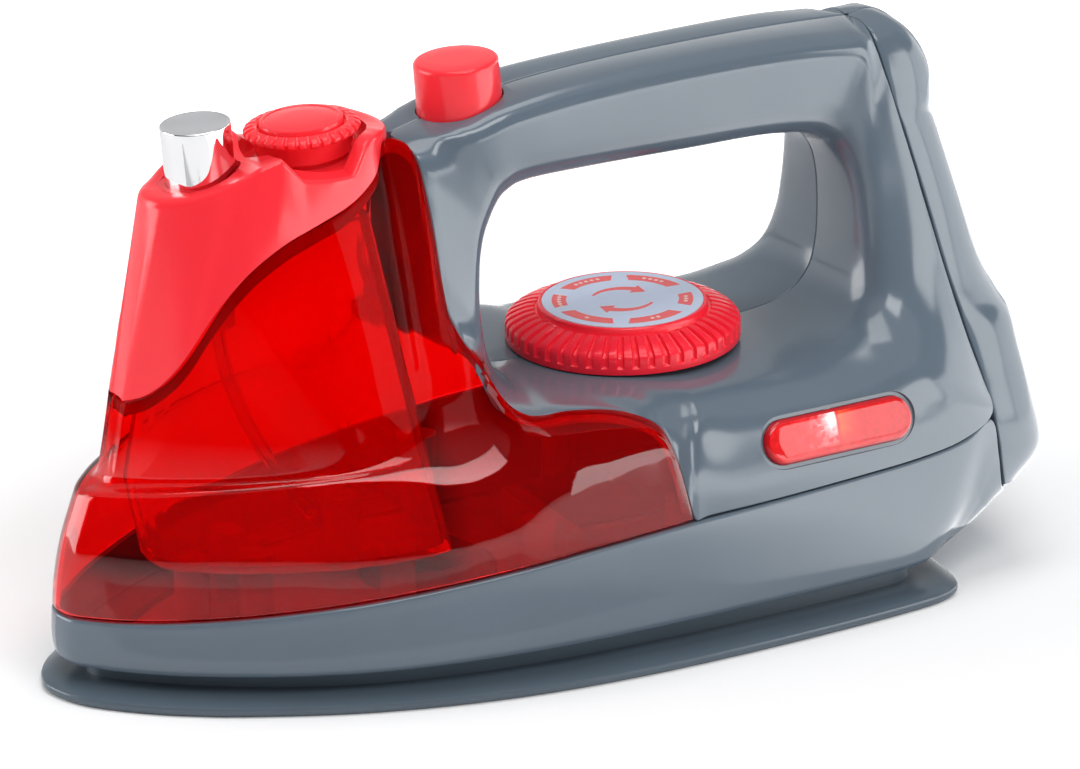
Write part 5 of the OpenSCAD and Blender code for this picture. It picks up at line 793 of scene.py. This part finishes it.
SPRAY_WALL, SPRAY_FOOT, DISH = 1.3, -5.7, 0.06
profile = [(0, SPRAY_TOP - SPRAY_WALL), (SPRAY_R - SPRAY_WALL, SPRAY_TOP - SPRAY_WALL),
           (SPRAY_R - SPRAY_WALL, SPRAY_FOOT), (SPRAY_R, SPRAY_FOOT), (SPRAY_R, 0), (SPRAY_R, SPRAY_TOP - 2)]
profile += fillet(SPRAY_R, SPRAY_TOP, 0.3, steps=4)
profile += [(SPRAY_R - 0.5, SPRAY_TOP), (SPRAY_R - 0.6, SPRAY_TOP - DISH), (0, SPRAY_TOP - DISH)]
spray = lathe("spray_button_cap", profile, SPRAY, 128)
add(spray, "spray_body", "chrome", "spray_button")
spray.data.materials.append(chrome_top.mat)
near_top = SPRAY @ Vector((0, 0, (SPRAY_TOP - 0.2) * MM))
axis = SPRAY.to_3x3() @ UP
for f in spray.data.polygons:
    if (f.center - near_top).dot(axis) > 0 and f.normal.dot(axis) > 0.98:
        f.material_index = 1


def groove(a, count, width, soft):
    """One inside a groove of a rim with count grooves, zero on a rib, eased over soft."""
    t = (a * count / (2 * math.pi)) % 1.0
    d = abs(t - 0.5) * 2
    x = min(max((d - (1 - width)) / soft + 0.5, 0), 1)
    return x * x * (3 - 2 * x)


# Filler cap: profile, grooves as count, width and softness, and their depths at points of the profile.
profile = [(0, -8), (5.7, -8), (5.7, 1.3), (9.6, 1.3), (10.4, 1.5), (11.4, 5.4), (11.8, 5.85)]
profile += [(12.4, 6.05), (12.85, 6.3), (13.0, 6.65), (13.0, 7.0), (12.8, 7.4), (12.2, 7.8), (11.2, 8.15)]
profile += [(10.4, 8.25), (9.85, 7.9), (9.6, 7.1), (9.4, 7.1), (9.35, 8.6), (9.2, 8.95), (8.85, 9.1)]
profile += [(8.3, 9.1), (8.1, 8.95), (7.9, 9.0), (4, 9.2), (0, 9.25)]
KNURLS = (30, 0.34, 0.3)
KNURL_DEPTH = {7: 0.5, 8: 0.8, 9: 0.85, 10: 0.85, 11: 0.85, 12: 0.8, 13: 0.5}
KNURL_CREST, KNURL_DROP = 10, 0.35  # points after this one also drop by a share of the depth


def knurl(i, a):
    depth, cut = KNURL_DEPTH.get(i, 0), groove(a, *KNURLS)
    return -depth * cut, -KNURL_DROP * depth * cut if i > KNURL_CREST else 0


cap = lathe("filler_cap_knob", profile, FILLER, KNURLS[0] * 14, knurl)
add(cap, "filler_cap_body", "red", "filler_cap")

# Dial, in the same way.
profile = [(4.06, 0.9), (4.06, 6.5), (6, 6.5), (6, 8.4), (18.6, 8.4), (18.62, 8.75), (18.9, 8.85)]
profile += [(19.3, 8.8), (19.55, 8.5), (19.62, 7.3), (19.8, 7.0), (20.2, 7.0), (20.6, 7.45), (22.4, 7.1)]
profile += [(24.2, 6.4), (25.6, 5.75), (26.5, 5.2), (27.0, 4.6)]
profile += [(DIAL_R, z) for z in (3.9, 2.4, 2.0, 1.75, 1.55, 0.7)]
profile += [(27.15, 0.4), (24.5, 0.4), (24.5, 3.4), (7.2, 3.4), (7.2, 0.9)]
RIBS = (48, 0.4, 0.24)
RIB_DEPTH = {12: 0.35, 13: 0.8, 14: 0.9, 15: 0.9, 16: 0.9, 17: 0.85, 18: 0.8, 19: 0.75, 20: 0.5}


def rib(i, a):
    """A groove narrows the rim after profile point 12 and lowers it before point 19."""
    cut = -RIB_DEPTH.get(i, 0) * groove(a, *RIBS)
    return cut * min(1, max(0, (i - 12) / 4)), cut * min(1, max(0, (19 - i) / 5))


dial = lathe("dial_wheel", profile, DIAL, RIBS[0] * 12, rib)
add(dial, "dial_body", "dial_red", "dial")

# Plain print on the label: arc fields with dots and two turning arrows, angles in degrees.
LABEL_TOP, PRINT = 8.9, 0.05
FIELDS = ((-151, -98), (-86, -34), (-18, 14), (34, 86), (98, 151), (166, 198))
FIELD_IN, FIELD_OUT, FIELD_SLANT = 13.0, 16.3, 3
ARROWS = ((160, 42), (-20, -138))
ARROW_R, ARROW_W, ARROW_TAIL, ARROW_BARB, ARROW_TIP = 7.2, 1.15, 0.25, 2.2, 26
DOT_RING, DOT_R, DOT_STEP = 14.65, 0.5, 6
TURN = -28


def flat_shape(name, outlines, low, high, matrix):
    verts, faces = [], []
    for outline in outlines:
        n = len(outline)
        k = len(verts)
        verts += [matrix @ (Vector((x, y, z)) * MM) for z in (low, high) for x, y in outline]
        faces += [tuple(range(k, k + n)), tuple(range(k + n, k + 2 * n))]
        faces += [(k + i, k + (i + 1) % n, k + n + (i + 1) % n, k + n + i) for i in range(n)]
    return new_object(name, verts, faces)


def arc_field(a0, a1):
    outside = arc_points(0, 0, FIELD_OUT, a0, a1, 14)
    return outside + arc_points(0, 0, FIELD_IN, a1 - FIELD_SLANT, a0 + FIELD_SLANT, 14)


def arrow(a0, a1):
    """Curved arrow from angle a0 to a1, thickening to its head."""
    neck = a1 - ARROW_TIP * (1 if a1 > a0 else -1)
    shares = np.linspace(0, 1, 13)
    along = [(ARROW_W * (ARROW_TAIL + (1 - ARROW_TAIL) * t), a0 + (neck - a0) * t) for t in shares]
    barb = ARROW_BARB * ARROW_W
    ring = [(ARROW_R + w, a) for w, a in along]
    ring += [(ARROW_R + barb, neck), (ARROW_R, a1), (ARROW_R - barb, neck)]
    ring += [(ARROW_R - w, a) for w, a in reversed(along)]
    return [(q * math.cos(math.radians(a)), q * math.sin(math.radians(a))) for q, a in ring]


fields = [arc_field(a0 + TURN, a1 + TURN) for a0, a1 in FIELDS]
arrows = [arrow(a0 + TURN, a1 + TURN) for a0, a1 in ARROWS]
ink = flat_shape("label_print", fields + arrows, LABEL_TOP - 0.02, LABEL_TOP + PRINT, DIAL)
add(ink, "dial_body", "label", look=label_ink)
dots = []
for k, (a0, a1) in enumerate(FIELDS):
    for d in range(k + 1):
        a = math.radians((a0 + a1) / 2 + TURN + (d - k / 2) * DOT_STEP)
        dots.append(arc_points(DOT_RING * math.cos(a), DOT_RING * math.sin(a), DOT_R, 0, 345, 12))
marks = flat_shape("label_dots", dots, LABEL_TOP, LABEL_TOP + PRINT * 1.6, DIAL)
add(marks, "dial_body", "label", look=label_dot)

SPRING_TURNS, TURN_STEPS, WIRE_SIDES = 6, 24, 10


def spring(node, matrix, radius, wire):
    """Coil in the place of a CAD spring and as long as its mesh, fixed on the iron."""
    foot = matrix.translation
    up = matrix.to_3x3() @ UP
    heights = [(v.co - foot).dot(up) / MM for v in NODE[node].data.vertices]
    low, high = min(heights), max(heights)
    steps = SPRING_TURNS * TURN_STEPS
    loops = []
    for i in range(steps + 1):
        a = 2 * math.pi * SPRING_TURNS * i / steps
        mid = low + wire + (high - low - 2 * wire) * i / steps
        ring = arc_points(radius, mid, wire, 0, 360 - 360 / WIRE_SIDES, WIRE_SIDES - 1)
        loops.append([(r * math.cos(a), r * math.sin(a), z) for r, z in ring])
    coil = stacked(node + "_coil", loops, matrix)
    add(coil, "iron", "steel", node)
    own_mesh(coil)


spring("spray_spring", SPRAY, 5.07, 0.43)
spring("button_spring", BUTTON, 6.05, 0.44)

# Signal lens: crowned pill whose steep border is painted darker than the crown, as painted shade on its
# sides.
LENS_RINGS = ((-4.1, -0.06), (-0.5, -0.06), (0.1, -0.14), (0.5, -0.4), (0.72, -0.75), (0.86, -1.3),
              (0.95, -2.2), (1.0, -3.4))
LENS_BORDER = 0.74
lens = stacked("signal_lens_cover", lens_loops(LENS_RINGS), LENS)
lens_red = Look("lens_red", (0.95, 0.02, 0.025), 0.05, 0.1, 500, 0.05, 0.03, IOR=1.45,
                Transmission_Weight=0.4)
# Painted shade: the darker red on the lens's steep sides.
lens_side_shade = Look("lens_side_shade", (0.5, 0.006, 0.012), 0.08, 0.05, 500, 0.03, 0.03)
add(lens, "iron", "lens", "signal_lens", look=lens_red)
lens.data.materials.append(lens_side_shade.mat)
lens_out = LENS.to_3x3() @ UP
for f in lens.data.polygons:
    if (f.center - LENS_SPOT).dot(lens_out) / MM < LENS_BORDER:
        f.material_index = 1

# Lamp behind the lens, by mm along and up it: white burst, cut facets before it, amber glow after it.
FACET_SCALE = 950
times, span = lens_red.product, lens_red.range
far = lens_red.along(LENS.to_3x3() @ BACK, LENS_SPOT)
high = lens_red.along(LENS.to_3x3() @ Vector((0, 1, 0)), LENS_SPOT)
cells = lens_red.node("ShaderNodeTexVoronoi")
cells.inputs["Scale"].default_value = FACET_SCALE
lens_red.tree.links.new(lens_red.coord, cells.inputs["Vector"])
parts = lens_red.node("ShaderNodeSeparateColor")
lens_red.tree.links.new(cells.outputs["Color"], parts.inputs[0])
before_lamp = span(far, -1.3, -0.7, 1, 0)
burst = times(span(far, -6.5, -2, 0, 1), before_lamp, span(high, -1.6, 2.4, 0, 1))
facet = times(span(far, -14, -5, 0, 1), before_lamp, span(parts.outputs[0], 0.25, 1.0, 0, 0.75),
              span(high, -3.4, -2.4, 0, 1))
amber = times(span(far, -1.2, 0, 0, 1), span(far, 0.5, 5.5, 1, 0), span(high, -3, 0, 0.2, 1))
tint = lens_red.blend(amber, (1.0, 0.03, 0.035), (1.0, 0.22, 0.05))
tint = lens_red.blend(facet, tint, (1.0, 0.55, 0.6))
lens_red.link(lens_red.blend(burst, tint, (1.0, 0.9, 0.93)), "Emission Color")
glow = lens_red.math("ADD", times(amber, 0.35), span(parts.outputs[1], 0, 1, 0.04, 0.2))
glow = lens_red.math("ADD", glow, times(facet, 0.45))
lens_red.link(lens_red.math("ADD", glow, times(burst, 1.3)), "Emission Strength")

# Floor and light

bpy.ops.mesh.primitive_plane_add(size=12, location=(0, 0, -0.00005))
floor = bpy.context.object
floor.name = "floor"

# The camera sees the floor lifted to white away from the part; its shadow stays.
floor_look = Look("floor", (0.93, 0.93, 0.935), 0.55, 0.004, 40, 0.0, 0.03, Specular_IOR_Level=0.0,
                  Emission_Color=WHITE)
floor_look.on(floor)
lift = floor_look.node("ShaderNodeLightPath").outputs["Is Camera Ray"]
fade = floor_look.range(floor_look.distance((0.03, 0, 0)), 0.15, 0.4, 0.05, 0.8)
floor_look.link(floor_look.product(lift, fade), "Emission Strength")

world = bpy.data.worlds.new("studio")
bpy.context.scene.world = world
world.use_nodes = True
tree = world.node_tree
tree.nodes.clear()
out = tree.nodes.new("ShaderNodeOutputWorld")
paper = tree.nodes.new("ShaderNodeBackground")
path = tree.nodes.new("ShaderNodeLightPath").outputs
where = tree.nodes.new("ShaderNodeSeparateXYZ")
tree.links.new(tree.nodes.new("ShaderNodeTexCoord").outputs["Generated"], where.inputs[0])


def world_node(kind, *values, **keys):
    """Node of the world with its inputs set, linked or skipped; returns its first output."""
    node = tree.nodes.new(kind)
    for key, value in keys.items():
        setattr(node, key, value)
    for socket, value in zip(node.inputs, values):
        if isinstance(value, float):
            socket.default_value = value
        elif value is not None:
            tree.links.new(value, socket)
    return node.outputs[0]


# Room light; white paper behind, which the camera and glass see, and which fades upward in reflections.
ROOM = 0.35
high_fade = world_node("ShaderNodeMapRange", where.outputs["Z"], 0.12, 0.42, 1.0, 0.45)
through = world_node("ShaderNodeMath", path["Is Camera Ray"], path["Is Transmission Ray"],
                     operation="MAXIMUM")
level = world_node("ShaderNodeMix", path["Is Glossy Ray"], None, ROOM, high_fade)
level = world_node("ShaderNodeMix", through, None, level, 1.0)
paper.inputs["Color"].default_value = WHITE
tree.links.new(level, paper.inputs["Strength"])
tree.links.new(paper.outputs[0], out.inputs["Surface"])


def softbox(name, at, target, size, power):
    light = bpy.data.lights.new(name, "AREA")
    light.shape = "RECTANGLE"
    light.size, light.size_y = size
    light.energy = power
    obj = bpy.data.objects.new(name, light)
    bpy.context.scene.collection.objects.link(obj)
    obj.location = at
    obj.rotation_euler = (Vector(target) - Vector(at)).to_track_quat("-Z", "Y").to_euler()


softbox("top_box", (0.0, 0.0, 1.2), (0, 0, 0.05), (0.8, 0.6), 5)
softbox("front_box", (-0.1, -0.9, 1.2), (0, 0, 0.06), (0.9, 0.5), 8)
softbox("left_box", (-1.05, 0.58, 0.4), (0, 0, 0.06), (0.8, 0.7), 7)
softbox("right_box", (0.9, -0.95, 0.34), (0.03, 0, 0.06), (0.5, 0.6), 4.4)

# Sheets, wall and cards that only reflections see

PALE = (0.9, 0.9, 0.9)


def screen(name, verts, faces, color, rough, drift, **sockets):
    """Stage piece that only reflections see; returns its look."""
    obj = new_object(name, verts, faces)
    look = Look(name, color, rough, drift, 20, 0.0, 0.05, **sockets)
    look.on(obj)
    for kind in ("camera", "diffuse", "transmission", "shadow", "volume_scatter"):
        setattr(obj, "visible_" + kind, False)
    return look


def card(name, at, width, top, strength):
    """Upright glowing card round the point at, facing the part."""
    side = Vector((-at[1], at[0], 0)).normalized() * width / 2
    foot = Vector((at[0], at[1], 0))
    rise = Vector((0, 0, top))
    verts = [foot - side, foot + side, foot + side + rise, foot - side + rise]
    screen(name, verts, [range(4)], PALE, 0.8, 0.02, Emission_Color=WHITE, Emission_Strength=strength)


# Bright sheet in front of the heel, brighter beyond a slanted line
SHEET = ((0.045, -0.075), (0.105, -0.055), (0.13, 0.06), (0.22, 0.5), (0.9, 0.6), (1.4, -2.3), (-0.2, -2.3),
         (0.0, -0.7))
sheet_verts = [(x, y, 0.0003) for x, y in SHEET]
sheet_look = screen("bright_sheet", sheet_verts, [range(len(SHEET))], PALE, 0.8, 0.02, Emission_Color=WHITE)
beside = sheet_look.along(BACK)
reach = sheet_look.along(Vector((0, -1, 0)))
edge = sheet_look.math("SUBTRACT", beside, sheet_look.range(reach, 80, 2300, 0, 890))
sheet_look.link(sheet_look.range(edge, 40, 110, 0.3, 3.2), "Emission Strength")

# Dark wall behind the camera
WALL_RADIUS, WALL_TOP = 2.6, 2.4
ring = [(WALL_RADIUS * math.cos(a), WALL_RADIUS * math.sin(a)) for a in np.radians(np.linspace(150, 350, 41))]
verts = [(x, y, z) for z in (0.0, WALL_TOP) for x, y in ring]
count = len(ring)
faces = [(i, i + 1, count + i + 1, count + i) for i in range(count - 1)]
screen("dark_wall", verts, faces, (0.03, 0.03, 0.032), 0.9, 0.1)

# Dark cloth in front of the nose
CLOTH = ((0.03, -0.085), (0.0, -0.28), (-0.2, -0.27), (-0.35, -0.1), (-0.14, -0.03), (-0.06, -0.07))
screen("dark_cloth", [(x, y, 0.0002) for x, y in CLOTH], [range(len(CLOTH))], (0.5, 0.5, 0.51), 0.9, 0.1)

# Cards beside the part
card("left_card", (-0.95, 0.5), 0.75, 0.4, 4.5)
card("right_card", (1.15, -0.1), 1.3, 0.5, 2.2)
card("front_card", (0.47, -1.1), 0.34, 0.12, 3.8)

bpy.context.scene.view_settings.view_transform = "Standard"
